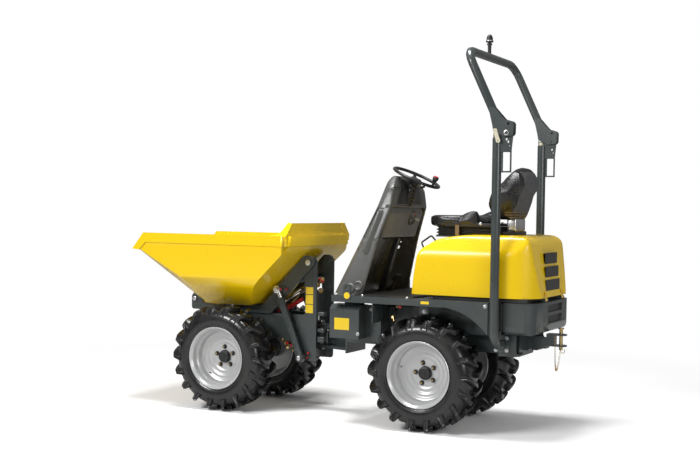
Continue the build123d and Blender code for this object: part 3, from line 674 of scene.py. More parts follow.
# %% Traction bar
def traction_bar():
    """One bar at angle zero: X is the radius, Y runs along the axle, Z round the tread."""
    clear_selection()
    bpy.ops.mesh.primitive_cube_add(size=1, location=(0.338, 0.067, 0))
    bar = bpy.context.object
    bar.scale = (0.084, 0.126, 0.038)
    settle(bar)
    open_edit(bar)
    for across in (0.030, 0.058, 0.086, 0.108, 0.122):
        bpy.ops.mesh.select_all(action="SELECT")
        bpy.ops.mesh.bisect(plane_co=(0, across, 0), plane_no=(0, 1, 0))
    # the top is narrower than the foot, all along
    select_points(bar, lambda p: p.x > 0.36)
    bpy.ops.transform.resize(value=(1, 1, 0.72), center_override=(0.38, 0.06, 0))
    # rows: across, lead round the tread, height of the top, half length gained at the foot
    rows = [(0.004, 0.050, 0.3755, 1.15), (0.030, 0.046, 0.3765, 1.0), (0.058, 0.035, 0.3765, 1.0),
            (0.086, 0.020, 0.3755, 1.0), (0.108, 0.006, 0.371, 1.0), (0.122, -0.006, 0.362, 1.1),
            (0.130, -0.012, 0.347, 1.2)]
    for across, lead, top, spread in rows:
        select_points(bar, lambda p: abs(p.y - across) < 0.003)
        bpy.ops.transform.resize(value=(1, 1, spread), center_override=(0.35, across, 0))
        bpy.ops.transform.translate(value=(0, 0, lead))
        select_points(bar, lambda p: abs(p.y - across) < 0.003 and p.x > 0.36)
        bpy.ops.transform.translate(value=(top - 0.380, 0, 0))
    # the foot: the end face runs down the sidewall, widens and is hollowed
    select_points(bar, lambda p: p.y > 0.126 and p.x < 0.33)
    bpy.ops.transform.translate(value=(0, 0.0005, -0.006))
    bpy.ops.transform.resize(value=(1, 1, 1.08), center_override=(0.3, 0.13, -0.018))
    select_points(bar, lambda p: p.y > 0.115 and p.x > 0.34)
    bpy.ops.transform.resize(value=(1, 1, 0.72), center_override=(0.35, 0.13, -0.010))
    select_faces(bar, lambda middle, normal: normal.y > 0.8 and middle.y > 0.12)
    bpy.ops.mesh.inset(thickness=0.0060, depth=0)
    bpy.ops.transform.translate(value=(-0.003, -0.010, 0))
    bpy.ops.mesh.select_all(action="SELECT")
    bpy.ops.mesh.normals_make_consistent(inside=False)
    bpy.ops.object.mode_set(mode="OBJECT")
    apply_modifier(bar, "BEVEL", width=0.0028, segments=2, limit_method="ANGLE",
                   angle_limit=math.radians(38))
    return bar


def copies_round(piece, count, first=0.0):
    """Copies of a piece at even angles about the axle."""
    made = []
    for step in range(count):
        twin = copy_of(piece)
        twin.rotation_euler = (0, math.radians(first + 360 * step / count), 0)
        made.append(settle(twin))
    return made


def tyre():
    bar = traction_bar()
    other = mirrored(bar)
    pieces = [carcass()] + copies_round(bar, LUGS) + copies_round(other, LUGS, 180 / LUGS)
    bpy.data.objects.remove(bar)
    bpy.data.objects.remove(other)
    return joined(pieces)


# %% [markdown]
# ## Rim, hub cap and nuts
#
# A pressed rim is one turned section: disc, dish, drop centre and the two rolled edges. Its
# rounded steps catch the light as rings. Hub cap, nuts and studs are modelled once, lying on the
# disc of a wheel at the origin.

# %% Rim and hub
def rim():
    section = [(0.034, -0.009), (0.060, -0.0085), (0.090, -0.0085), (0.096, -0.0075), (0.101, -0.003),
               (0.107, -0.001), (0.124, -0.001), (0.130, 0.001), (0.136, 0.007), (0.143, 0.009),
               (0.156, 0.009), (0.163, 0.012), (0.169, 0.018), (0.178, 0.021), (0.1815, 0.026),
               (0.1825, 0.034), (0.1825, 0.056), (0.185, 0.063), (0.192, 0.070), (0.1965, 0.078),
               (0.198, 0.088), (0.199, 0.104), (0.2025, 0.112), (0.2085, 0.117), (0.212, 0.1225),
               (0.2155, 0.1258), (0.2195, 0.1262), (0.222, 0.1238), (0.2215, 0.120), (0.214, 0.1185),
               (0.2075, 0.114), (0.2065, 0.084), (0.188, 0.060), (0.187, -0.016), (0.2065, -0.044),
               (0.2075, -0.114), (0.2215, -0.120), (0.222, -0.1238), (0.2195, -0.1262),
               (0.2155, -0.1258), (0.208, -0.117), (0.199, -0.104), (0.197, -0.050),
               (0.176, -0.026), (0.098, -0.021), (0.034, -0.021)]
    return turned_about_axle(lathe(section, 96, ring=True))


def hub_cap():
    cap = lathe([(0.046, -0.0088), (0.0465, -0.002), (0.0435, 0.0005), (0.0425, 0.014), (0.040, 0.0185),
                 (0.034, 0.0205), (0.033, 0.0185), (0.014, 0.0185), (0.0125, 0.0205), (0.004, 0.021)], 48)
    drum = lathe([(0.058, -0.0405), (0.060, -0.038), (0.060, -0.0195)], 40)
    return turned_about_axle(joined([cap, drum]))


def wheel_nuts():
    nuts, studs = [], []
    for step in range(5):
        turn = math.radians(72 * step + 10)
        place = Vector((0.070 * math.cos(turn), 0, -0.070 * math.sin(turn)))
        nut = hexagon_bolt(place + Vector((0, -0.0085, 0)), (0, 1, 0), 0.0125, 0.015)
        nuts.append(nut)
        studs.append(round_bar(place + Vector((0, 0.006, 0)), place + Vector((0, 0.0125, 0)), 0.0055, 16))
    valve = round_bar((0.166, 0.012, 0), (0.160, 0.036, 0), 0.004, 12)
    return joined(nuts + [valve]), joined(studs)


# %% [markdown]
# ## Four wheels
#
# Each wheel gets a copy of every model, turned so that no two wheels stand alike. On the right the
# copies are mirrored, so that the bars lead the same way when the machine drives forward.

# %% Four wheels
tyre_model, rim_model, cap_model = tyre(), rim(), hub_cap()
nut_model, stud_model = wheel_nuts()
nut_black = finish("black wheel nuts", (0.02, 0.02, 0.021), 0.32, 0.5, dust=0.1, grain=500)
gold = finish("yellow passivated stud", (0.72, 0.5, 0.16), 0.32, 0.45, dust=0.05, metallic=1.0)
WHEELS = [("front_left", FRONT_AXLE, 1, 48), ("front_right", FRONT_AXLE, -1, 4),
          ("rear_left", REAR_AXLE, 1, -12), ("rear_right", REAR_AXLE, -1, 7)]
for where, along, side, turn in WHEELS:
    sets = [(tyre_model, "tyre_%s_dressed" % where, "tyre_rubber", RUBBER, ("tyre_" + where,), 0),
            (rim_model, "rim_%s_dressed" % where, "rim_paint", RIM, ("rim_" + where,), turn),
            (cap_model, "hub_cap_" + where, "black_plastic", BLACK, (), turn),
            (nut_model, "wheel_nuts_" + where, "black_plastic", nut_black, (), turn),
            (stud_model, "wheel_studs_" + where, "pin_zinc", gold, (), turn)]
    for model, name, slot, made, nodes, angle in sets:
        piece = copy_of(model)
        piece.rotation_euler = (0, math.radians(angle), 0)
        settle(piece)
        if side < 0:
            twin = mirrored(piece)
            bpy.data.objects.remove(piece)
            piece = twin
        piece.location = (along, side * WHEEL_Y, WHEEL_HEIGHT)
        hand_over(piece, name, "wheel_" + where, made, 34, nodes)
for model in (tyre_model, rim_model, cap_model, nut_model, stud_model):
    bpy.data.objects.remove(model)
# %% [markdown]
# ## The padded seat
#
# Cushion and backrest are vinyl over foam. Foam under a cover is never flat: it swells between
# its edges. So each pad starts as a copy of its CAD solid, a little smaller, and is remeshed into
# even faces. A short cloth simulation with pressure and no gravity can then blow it up, with a cap
# on how far a point may move.

# %% Foam and swelling
def place(x, y, z):
    """A point given in millimetres, with x counted from the rear axle."""
    return from_axle(x / 1000, y / 1000, z / 1000)


def swell(piece, frames, pressure, cap):
    """Blow a closed mesh up like foam under a cover, but move no point further than the cap."""
    rest = [point.co.copy() for point in piece.data.vertices]
    take(piece)
    cloth = piece.modifiers.new("Cloth", "CLOTH")
    cloth.settings.use_pressure = True
    cloth.settings.uniform_pressure_force = pressure
    cloth.settings.effector_weights.gravity = 0
    cloth.settings.quality = 4
    cloth.point_cache.frame_start = 1
    cloth.point_cache.frame_end = frames
    for step in range(1, frames + 1):
        scene.frame_set(step)
    bpy.ops.object.modifier_apply(modifier=cloth.name)
    scene.frame_set(1)
    for point, start in zip(piece.data.vertices, rest):
        move = point.co - start
        if move.length > cap:
            point.co = start + move * (cap / move.length)


def foam_pad(node, shrink, cut_below=None):
    piece = copy_of(NODES[node])
    open_edit(piece)
    bpy.ops.mesh.remove_doubles(threshold=0.00002)
    if cut_below:
        bpy.ops.mesh.select_all(action="SELECT")
        bpy.ops.mesh.bisect(plane_co=(0, 0, cut_below), plane_no=(0, 0, 1), use_fill=True,
                            clear_inner=True)
    bpy.ops.mesh.select_all(action="SELECT")
    low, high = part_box(node)
    middle = (low + high) / 2
    bpy.ops.transform.resize(value=(shrink, shrink, shrink), center_override=middle)
    bpy.ops.object.mode_set(mode="OBJECT")
    piece.data.remesh_voxel_size = 0.0065
    take(piece)
    bpy.ops.object.voxel_remesh()
    apply_modifier(piece, "SMOOTH", factor=0.6, iterations=6)
    return piece


# %% [markdown]
# ## The pads' own shapes
#
# Two rules move the points of a pad before it is blown up. The cushion keeps only the wings at its
# rear corners high, and gets two long seams and one across. The back becomes fuller and leans, its
# foot is narrow, its top is round and its sides stand forward of the middle.

# %% Pad shapes
def shaped(piece, rule):
    for point in piece.data.vertices:
        point.co = rule(point.co.copy())
    return piece


def fade(value, start, end):
    share = min(1.0, max(0.0, (value - start) / (end - start)))
    return share * share * (3 - 2 * share)


CUSHION_TOP = 1.420


def cushion_shape(p):
    """Only the wings at the rear corners stand up; the middle is dished, with three seams."""
    x, y, z = p.x - REAR_AXLE, abs(p.y), p.z
    if z > 1.37:
        wing = fade(y, 0.130, 0.185)
        limit = CUSHION_TOP - 0.010 * (1 - fade(y, 0.0, 0.19))
        if z > limit:
            z = limit + (z - limit) * wing
        seam = max(0.0, 1 - abs(y - 0.168) / 0.009) + max(0.0, 1 - abs(x + 0.135) / 0.009) * (y < 0.168)
        z -= 0.0045 * min(1.0, seam)
    return Vector((p.x, p.y, z))


def back_shape(p):
    """A full, leaning back: bolsters forward at the sides, rounded top, and two long seams."""
    x, y = p.x - REAR_AXLE, abs(p.y)
    lean = fade(p.z, 1.45, 1.78)
    middle = -0.355 - 0.100 * lean
    forward = fade(x - middle, -0.01, 0.03)
    x = middle + (x - middle) * 1.3 - 0.060 - 0.025 * lean
    x -= 0.052 * (1 - forward) * (1 - fade(p.z, 1.60, 1.76)) * (1 - 0.5 * fade(y, 0.10, 0.24))
    x -= 0.018 * forward * (1 - fade(y, 0.06, 0.19))
    x -= 0.006 * forward * max(0.0, 1 - abs(y - 0.155) / 0.010)
    z = p.z - 0.060 * (y / 0.2) ** 2.4 * fade(p.z, 1.56, 1.74)
    narrow = 0.68 + 0.32 * fade(p.z, 1.39, 1.56)
    return Vector((REAR_AXLE + x, p.y * narrow, z))


# %% [markdown]
# ## Making the two pads
#
# One level of subdivision rounds the last facets.

# %% Pads
cushion = shaped(foam_pad("seat_cushion", 0.965), cushion_shape)
backrest = shaped(foam_pad("seat_back", 0.965, 1.402), back_shape)
for pad in (cushion, backrest):
    swell(pad, 14, 3.0, 0.007)
    apply_modifier(pad, "SUBSURF", levels=1, render_levels=1)
print("pads:", len(cushion.data.polygons), "and", len(backrest.data.polygons), "faces")


# %% [markdown]
# ## Cover pieces on the backrest
#
# The rear of the back has a panel of woven cloth with a pocket, and three narrow bands. Each is
# cut from the pad's own faces, lifted a little and given a thickness, so it follows the swell.

# %% Panel, pocket and bands
def skin_patch(source, name, test, lift, thickness):
    """A cover piece sewn on a pad: some of the pad's own faces, lifted and given a thickness."""
    patch = copy_of(source)
    open_edit(patch)
    select_faces(patch, lambda middle, normal: not test(middle, normal))
    bpy.ops.mesh.delete(type="FACE")
    bpy.ops.mesh.select_all(action="SELECT")
    bpy.ops.transform.shrink_fatten(value=-lift)
    bpy.ops.object.mode_set(mode="OBJECT")
    apply_modifier(patch, "SOLIDIFY", thickness=thickness, offset=1.0)
    patch.name = name
    return patch


def rear_face(low, high, half):
    return lambda m, n: n.x < -0.35 and low < m.z < high and abs(m.y) < half


CLOTH = finish("grey woven seat cloth", (0.075, 0.078, 0.085), 0.8, 0.85, dust=0.1, patches=30.0,
               grain=1500, depth=0.0012)
STRAP = finish("tan strap", (0.20, 0.13, 0.06), 0.7, 0.75, dust=0.08, grain=1800, depth=0.0006)
panel = skin_patch(backrest, "rear_panel", rear_face(1.455, 1.715, 0.150), 0.0015, 0.003)
pocket = skin_patch(backrest, "rear_pocket", rear_face(1.560, 1.690, 0.105), 0.005, 0.003)
bands = [skin_patch(backrest, "band", lambda m, n, low=low: n.x < -0.15 and low < m.z < low + 0.0055,
                    0.0005, 0.0012) for low in (1.414, 1.430, 1.446)]
hand_over(cushion, "seat_cushion_pad", "hood", VINYL, 60, ("seat_cushion",))
hand_over(backrest, "seat_back_pad", "hood", VINYL, 60, ("seat_back",))
hand_over(panel, "seat_rear_panel", "hood", CLOTH, 60)
hand_over(pocket, "seat_rear_pocket", "hood", VINYL, 60)
hand_over(joined(bands), "seat_back_bands", "hood", STRAP, 60)

# %% [markdown]
# ## Under the seat
#
# The cushion sits on a suspension hidden by a rubber bellows with folds, over a flat frame. Behind
# it a pale box joins the backrest to the frame. A lap belt leaves the frame on each side. The
# bellows is a cube that is cut level by level, with every second cut drawn inwards.

# %% Bellows, frame and belt
def bellows():
    low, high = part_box("seat_base")
    clear_selection()
    bpy.ops.mesh.primitive_cube_add(size=1, location=(low + high) / 2)
    piece = bpy.context.object
    piece.scale = high - low
    settle(piece)
    open_edit(piece)
    levels = [low.z + (high.z - low.z) * share for share in (0.12, 0.26, 0.40, 0.54, 0.68, 0.82)]
    for level in levels:
        bpy.ops.mesh.select_all(action="SELECT")
        bpy.ops.mesh.bisect(plane_co=(0, 0, level), plane_no=(0, 0, 1))
    for level in levels[1::2]:
        select_points(piece, lambda p: abs(p.z - level) < 0.001)
        bpy.ops.transform.resize(value=(0.93, 0.90, 1), center_override=(low + high) / 2)
    bpy.ops.object.mode_set(mode="OBJECT")
    apply_modifier(piece, "BEVEL", width=0.0045, segments=3, limit_method="ANGLE")
    return piece


hand_over(bellows(), "seat_bellows", "hood", BLACK, 40, ("seat_base",))
box = soft_block(place(-520, -100, 1322), place(-455, 100, 1412), 0.012)
hand_over(box, "seat_hinge_box", "hood", SILVER, 40)
rails = [soft_block(place(-440, side * 205 - 9, 1352), place(-60, side * 205 + 9, 1374), 0.003)
         for side in (1, -1)]
rails.append(soft_block(place(-512, -150, 1300), place(-300, 150, 1324), 0.006))
hand_over(joined(rails), "seat_rails", "hood", BLACK, 40)
pivots = [hexagon_bolt(place(-315, side * 216, 1372), (0, side, 0), 0.008, 0.006) for side in (1, -1)]
hand_over(joined(pivots), "seat_pivot_bolts", "hood", SILVER, 30)
straps, buckles = [], []
for side in (1, -1):
    strap = soft_block(place(-164, side * 214 - 2, 1290), place(-136, side * 214 + 2, 1372), 0.0012, 2)
    straps.append(strap)
    buckle = soft_block(place(-178, side * 212 - 9, 1362), place(-122, side * 212 + 9, 1392), 0.004)
    buckles.append(buckle)
hand_over(joined(straps), "belt_straps", "hood", STRAP, 30)
hand_over(joined(buckles), "belt_buckles", "hood", BLACK, 40)
print("seat dressed")

# %% [markdown]
# ## Steering wheel
#
# The wheel is made flat at the origin and leaned into place at the end. Each of its three spokes
# is a cube that is cut once across, so that it can dish down to the hub, and narrowed at the rim.

# %% Spokes
WHEEL_LEAN = math.radians(24)
WHEEL_MIDDLE = place(242, 0, 1680)
WHEEL_AXIS = Vector((-math.sin(WHEEL_LEAN), 0, math.cos(WHEEL_LEAN)))


def leaned(piece):
    piece.rotation_euler = (0, -WHEEL_LEAN, 0)
    piece.location = WHEEL_MIDDLE
    return settle(piece)


def spoke(angle):
    clear_selection()
    bpy.ops.mesh.primitive_cube_add(size=1, location=(0.092, 0, -0.014))
    arm = bpy.context.object
    arm.scale = (0.135, 0.030, 0.007)
    settle(arm)
    open_edit(arm)
    bpy.ops.mesh.bisect(plane_co=(0.055, 0, 0), plane_no=(1, 0, 0))
    select_points(arm, lambda p: p.x < 0.06)
    bpy.ops.transform.translate(value=(0, 0, -0.006))
    select_points(arm, lambda p: p.x > 0.12)
    bpy.ops.transform.translate(value=(0, 0, 0.008))
    bpy.ops.transform.resize(value=(1, 0.7, 1), center_override=(0.16, 0, 0))
    bpy.ops.object.mode_set(mode="OBJECT")
    apply_modifier(arm, "BEVEL", width=0.0025, segments=2)
    arm.rotation_euler = (0, 0, math.radians(angle))
    return settle(arm)


# %% [markdown]
# ## Rim, hub and knob
#
# The rim is a torus, flattened a little. The hub is turned, and so is the knob for steering with
# one hand, which has a red cap.

# %% Whole steering wheel
def steering_wheel():
    clear_selection()
    bpy.ops.mesh.primitive_torus_add(major_radius=0.165, minor_radius=0.0125, major_segments=72,
                                     minor_segments=16)
    rim_ring = bpy.context.object
    rim_ring.scale = (1, 1, 0.9)
    settle(rim_ring)
    hub = lathe([(0.030, -0.056), (0.036, -0.050), (0.038, -0.030), (0.044, -0.022), (0.044, -0.012),
                 (0.036, -0.005), (0.030, -0.004), (0.028, -0.006), (0.006, -0.006)], 40)
    knob = lathe([(0.009, 0.004), (0.009, 0.034), (0.014, 0.040), (0.019, 0.050), (0.021, 0.062),
                  (0.020, 0.070), (0.0185, 0.0715)], 28)
    turn = math.radians(160)
    knob.location = (0.165 * math.cos(turn), 0.165 * math.sin(turn), 0)
    settle(knob)
    cap = lathe([(0.0185, 0.0718), (0.018, 0.0745), (0.014, 0.0765), (0.004, 0.077)], 28)
    cap.location = (0.165 * math.cos(turn), 0.165 * math.sin(turn), 0)
    settle(cap)
    wheel = joined([rim_ring, hub, knob] + [spoke(angle) for angle in (60, 180, 300)])
    return leaned(wheel), leaned(cap)


wheel_piece, knob_cap = steering_wheel()
hand_over(wheel_piece, "steering_wheel_dressed", "steering_wheel", BLACK, 40,
          ("steering_wheel",))
hand_over(knob_cap, "steering_knob_cap", "steering_wheel", RED, 40)
print("steering wheel leaned by", round(math.degrees(WHEEL_LEAN)), "degrees")

# %% [markdown]
# ## Cooling grilles
#
# Behind each slot sits a dark woven screen. A real mesh of wires would take thousands of faces, so
# the screen is one plate a few millimetres behind the opening, and its finish carries the weave as
# colour. A rubber seal closes the joint between hood and deck.

# %% Screens
def screen_finish():
    made = finish("black woven screen", (0.03, 0.03, 0.03), 0.5, 0.6, dust=0.1)
    tree = made.node_tree
    shader = tree.nodes["Principled BSDF"]
    where = tree.nodes.new("ShaderNodeTexCoord")
    weave = tree.nodes.new("ShaderNodeTexChecker")
    weave.inputs["Scale"].default_value = 260
    weave.inputs["Color1"].default_value = (0.004, 0.004, 0.004, 1)
    weave.inputs["Color2"].default_value = (0.07, 0.07, 0.065, 1)
    tree.links.new(where.outputs["Object"], weave.inputs["Vector"])
    tree.links.new(weave.outputs["Color"], shader.inputs["Base Color"])
    return made


SCREEN = screen_finish()
HOOD_SLOTS = [(145, 948, 1009), (134, 1038, 1096), (122, 1125, 1184)]
BALLAST_SLOTS = [(158, 734, 784), (158, 803, 854)]
screens = [soft_block(place(-748, -half - 6, low - 6), place(-744, half + 6, high + 6), 0.001, 1)
           for half, low, high in HOOD_SLOTS]
for piece, shift in zip(screens, (0, 6, 14)):
    piece.location.x += shift / 1000
hand_over(joined(screens), "hood_screens", "hood", SCREEN, 0)
screens = [soft_block(place(-750, -half + 1, low + 1), place(-745, half - 1, high - 1), 0.001, 1)
           for half, low, high in BALLAST_SLOTS]
hand_over(joined(screens), "ballast_screens", "rear", SCREEN, 0)
strip = soft_block(place(-700, -395, 876), place(-60, 395, 901), 0.004)
hand_over(strip, "hood_seal", "rear", BLACK, 30)
gap_strips = [soft_block(place(-541, side * 401 - 7, 690), place(-520, side * 401 + 7, 868), 0.004)
              for side in (1, -1)]
hand_over(joined(gap_strips), "ballast_buffers", "rear", BLACK, 30)
print("screens:", len(HOOD_SLOTS) + len(BALLAST_SLOTS))

# %% [markdown]
# ## Bolts
#
# Small parts tell the eye how big the machine is. Hexagon heads are one model, put in many places
# from two tables of millimetres: heads that point outwards, and heads that point up.

# %% Bolts on the rear body
OUTWARD_BOLTS = [(-456, 490, 853), (-467, 303, 560), (-540, 303, 560), (-540, 303, 640),
                 (-467, 303, 640), (417, 331, 778), (462, 440.5, 617)]
UPWARD_BOLTS = [(413, 480, 876), (88, 480, 876), (610, 470, 876)]
bolts = []
for x, y, z in OUTWARD_BOLTS:
    bolts += [hexagon_bolt(place(x, side * y, z), (0, side, 0)) for side in (1, -1)]
for x, y, z in UPWARD_BOLTS:
    bolts += [hexagon_bolt(place(x, side * y, z), (0, 0, 1)) for side in (1, -1)]
print("bolts:", len(bolts))
hand_over(joined(bolts), "rear_bolts", "rear", SILVER, 30)

# %% [markdown]
# ## Marker plates
#
# Thin yellow plates and discs sit on the side box, the deck's edge and the mast. They are blank.

# %% Plates and discs
def marker(low, high):
    return soft_block(place(*low), place(*high), 0.0006, 1)


plates = [marker((528, 440, 638), (640, 441.5, 718)), marker((-72, 490, 846), (-14, 491.2, 864))]
hand_over(joined(plates), "marker_plates_rear", "rear", MARKER, 0)
rounds = []
for side in (1, -1):
    disc = lathe([(0.0215, 0), (0.0220, 0.0005), (0.0215, 0.001)], 40)
    rounds.append(stood(disc, place(522, side * 494.4, 876), (0, side, 0)))
print("plates and discs:", len(plates) + len(rounds))
hand_over(joined(rounds), "marker_discs", "rear", MARKER, 0)
mast_plates = [marker((971, 136, low), (1031, 137.2, high)) for low, high in
               ((842, 892), (772, 836), (706, 766))]
hand_over(joined(mast_plates), "marker_plates_mast", "front", MARKER, 0)

# %% [markdown]
# ## Floor mat
#
# The mat is a grid with one row of faces. Every second rib is inset and raised, and the sheet gets
# its thickness at the end.

# %% Mat
def mat():
    clear_selection()
    bpy.ops.mesh.primitive_grid_add(x_subdivisions=60, y_subdivisions=1, size=1)
    sheet = bpy.context.object
    sheet.scale = (0.43, 0.93, 1)
    sheet.location = place(270, 0, 877)
    settle(sheet)
    open_edit(sheet)
    mesh = bmesh.from_edit_mesh(sheet.data)
    for face in mesh.faces:
        face.select_set(int(round((face.calc_center_median().x - REAR_AXLE) / 0.43 * 60)) % 2 == 0)
    bmesh.update_edit_mesh(sheet.data)
    bpy.ops.mesh.inset(thickness=0.0012, depth=0.0014, use_individual=True)
    bpy.ops.object.mode_set(mode="OBJECT")
    apply_modifier(sheet, "SOLIDIFY", thickness=0.002, offset=1.0)
    return sheet


hand_over(mat(), "floor_mat", "rear", BLACK, 0)

# %% [markdown]
# ## Softly moulded bodies
#
# A moulding has no sharp edge. The hood starts as the hull of its CAD points, drawn out below its
# foot; an even remesh and many rounds of smoothing turn every edge into a wide curve. It is then
# cut level and given its wall, and the cooling slots are cut. Its hinge knuckles are kept as they
# are in CAD: the faces that lie inside two small boxes.

# %% Hood skin
HOOD_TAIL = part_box("hood")[0].x
HOOD_WALL = 0.006
DRAWN_OUT = 0.080


def near_knuckle(p):
    return p.z < 0.945 and p.x < HOOD_TAIL + 0.075 and 0.155 < abs(p.y) < 0.205


def hood_skin():
    skin = copy_of(NODES["hood"])
    open_edit(skin)
    select_points(skin, near_knuckle)
    bpy.ops.mesh.delete(type="VERT")
    bpy.ops.mesh.select_all(action="SELECT")
    bpy.ops.mesh.convex_hull(join_triangles=False)
    foot = min(p.co.z for p in bmesh.from_edit_mesh(skin.data).verts)
    select_points(skin, lambda p: p.z < foot + 0.002)
    bpy.ops.transform.translate(value=(0, 0, -DRAWN_OUT))
    bpy.ops.object.mode_set(mode="OBJECT")
    skin.data.remesh_voxel_size = 0.009
    take(skin)
    bpy.ops.object.voxel_remesh()
    apply_modifier(skin, "SMOOTH", factor=0.5, iterations=34)
    open_edit(skin)
    bpy.ops.mesh.select_all(action="SELECT")
    bpy.ops.mesh.bisect(plane_co=(0, 0, foot), plane_no=(0, 0, 1), clear_inner=True)
    bpy.ops.object.mode_set(mode="OBJECT")
    apply_modifier(skin, "SOLIDIFY", thickness=HOOD_WALL, offset=-1.0)
    for half, bottom, top in HOOD_SLOTS:
        cutter = soft_block(place(-800, -half, bottom), place(-690, half, top), 0.009, 3)
        take(skin)
        slot = skin.modifiers.new("slot", "BOOLEAN")
        slot.object = cutter
        slot.operation = "DIFFERENCE"
        bpy.ops.object.modifier_apply(modifier=slot.name)
        bpy.data.objects.remove(cutter)
    return skin


def on_knuckle(p):
    return p.z < 0.941 and p.x < HOOD_TAIL + 0.03 and 0.160 < abs(p.y) < 0.200


def hood_knuckles():
    piece = copy_of(NODES["hood"])
    open_edit(piece)
    select_faces(piece, lambda middle, normal: not on_knuckle(middle))
    bpy.ops.mesh.delete(type="FACE")
    bpy.ops.object.mode_set(mode="OBJECT")
    return piece


knuckles, skin = hood_knuckles(), hood_skin()
hand_over(skin, "hood_skin", "hood", YELLOW, 40, ("hood",))
hand_over(knuckles, "hood_knuckles", "hood", YELLOW, 40)

# %% [markdown]
# ## Console and knee panel
#
# Both are copies of their solids, remeshed and smoothed in the same way. Smoothing also rounds up
# what should meet a neighbour, so the console's foot is first drawn down and the knee panel's top
# drawn up.

# %% Console and knee panel
def moulded(node, cell, rounds, rule=None):
    piece = copy_of(NODES[node])
    open_edit(piece)
    bpy.ops.mesh.remove_doubles(threshold=0.00002)
    bpy.ops.object.mode_set(mode="OBJECT")
    if rule:
        shaped(piece, rule)
    piece.data.remesh_voxel_size = cell
    take(piece)
    bpy.ops.object.voxel_remesh()
    apply_modifier(piece, "SMOOTH", factor=0.5, iterations=rounds)
    return piece


def taller(p):
    """The knee panel runs up into the console, so that no light shows between them."""
    return Vector((p.x, p.y, p.z + 0.030)) if p.z > 1.45 else p


def deeper(p):
    """The console's foot is drawn down, because smoothing rounds it up again."""
    return Vector((p.x, p.y, p.z - 0.020)) if p.z < 0.89 else p


hand_over(moulded("dash_console", 0.0065, 16, deeper), "dash_console_soft", "rear",
          CONSOLE, 60, ("dash_console",))
hand_over(moulded("knee_bolster", 0.006, 24, taller), "knee_panel_soft", "rear",
          CONSOLE, 60, ("knee_bolster",))

# %% [markdown]
# ## Instrument panel, boot and levers
#
# Above the knee panel the console's face is dark. A black panel follows its slope, a folded boot
# covers the steering column, and a short lever stands out on each side.

# %% Dash insert, boot and levers
def dash_slope(p):
    x, z = p.x - REAR_AXLE, p.z
    share = (z - 1.490) / 0.178
    return Vector((REAR_AXLE + x + 0.026 * fade(z, 1.60, 1.69), p.y * (1 - 0.42 * share), z))


dash = soft_block(place(283, -215, 1490), place(312, 215, 1668), 0.010)
open_edit(dash)
bpy.ops.mesh.subdivide(number_cuts=4)
bpy.ops.object.mode_set(mode="OBJECT")
hand_over(shaped(dash, dash_slope), "dash_insert", "rear", BLACK, 50)
boot = lathe([(0.052, 0.0), (0.055, 0.012), (0.047, 0.020), (0.050, 0.031), (0.040, 0.041),
              (0.042, 0.052), (0.033, 0.061), (0.035, 0.071), (0.030, 0.086)], 36)
boot_foot = WHEEL_MIDDLE - WHEEL_AXIS * 0.150
hand_over(stood(boot, boot_foot, WHEEL_AXIS), "column_boot", "rear", BLACK, 40)
stalks = [joined([round_bar(place(262, side * 24, 1600), place(240, side * 98, 1616), 0.0045, 12),
                  round_bar(place(242, side * 92, 1615), place(233, side * 120, 1621), 0.009, 16)])
          for side in (1, -1)]
hand_over(joined(stalks), "column_stalks", "rear", BLACK, 40)
print("dash insert, boot and", len(stalks), "levers")

# %% [markdown]
# ## Console mouldings
#
# The console is one large moulding. Its outer sides carry a long pressed bead and two round
# bosses where the fixings are sunk, and the knee panel has a bowl for the key switch. Beads are
# turned, squeezed flat and half sunk into the surface, so that only their rounded crest shows.

# %% Beads, bosses and key switch
def bead(start, end, radius, flat):
    start, end = Vector(start), Vector(end)
    length = (end - start).length
    section = [(radius * math.sin(math.radians(a)), radius * (1 - math.cos(math.radians(a))))
               for a in (12, 30, 50, 70, 90)]
    section += [(r, length - h) for r, h in reversed(section)]
    form = lathe(section, 28)
    form.scale = (1, flat, 1)
    settle(form)
    return stood(form, start, end - start)


mouldings = []
for side in (1, -1):
    mouldings.append(bead(place(455, side * 363, 1150), place(352, side * 314, 1455), 0.030, 0.45))
    for x, z in ((552, 918), (490, 937)):
        boss = lathe([(0.036, -0.012), (0.036, 0.002), (0.033, 0.006), (0.026, 0.007), (0.022, 0.003),
                      (0.010, 0.002)], 36)
        mouldings.append(stood(boss, place(x, side * 386, z), (0, side, 0.12)))
hand_over(joined(mouldings), "console_mouldings", "rear", CONSOLE, 40)
bowl = lathe([(0.050, 0.0), (0.056, 0.002), (0.056, 0.006), (0.050, 0.008), (0.040, 0.004),
              (0.036, 0.002)], 40)
bowl = stood(bowl, place(325, -120, 1400), (-1, 0, -0.28))
hand_over(bowl, "key_switch_bowl", "rear", BLACK, 40)
key = joined([round_bar(place(318, -120, 1398), place(288, -120, 1390), 0.011, 20),
              soft_block(place(268, -122, 1378), place(292, -118, 1402), 0.0015, 2)])
hand_over(key, "key_switch", "rear", SILVER, 30)
lamp_cap = round_bar(place(322, -150, 1428), place(310, -150, 1425), 0.009, 20)
hand_over(lamp_cap, "warning_lamp", "rear", RED, 40)
print("console details done")

# %% [markdown]
# ## Roll bar hinge and beacon
#
# Each hinge shows the flat head of its fold pin, a bolt head over the cheek's hole, and outside a
# pale link that locks the bar upright. A short plate closes the post's top, with a locking bolt on
# its inner side. The beacon is a dark bell on a short stem.

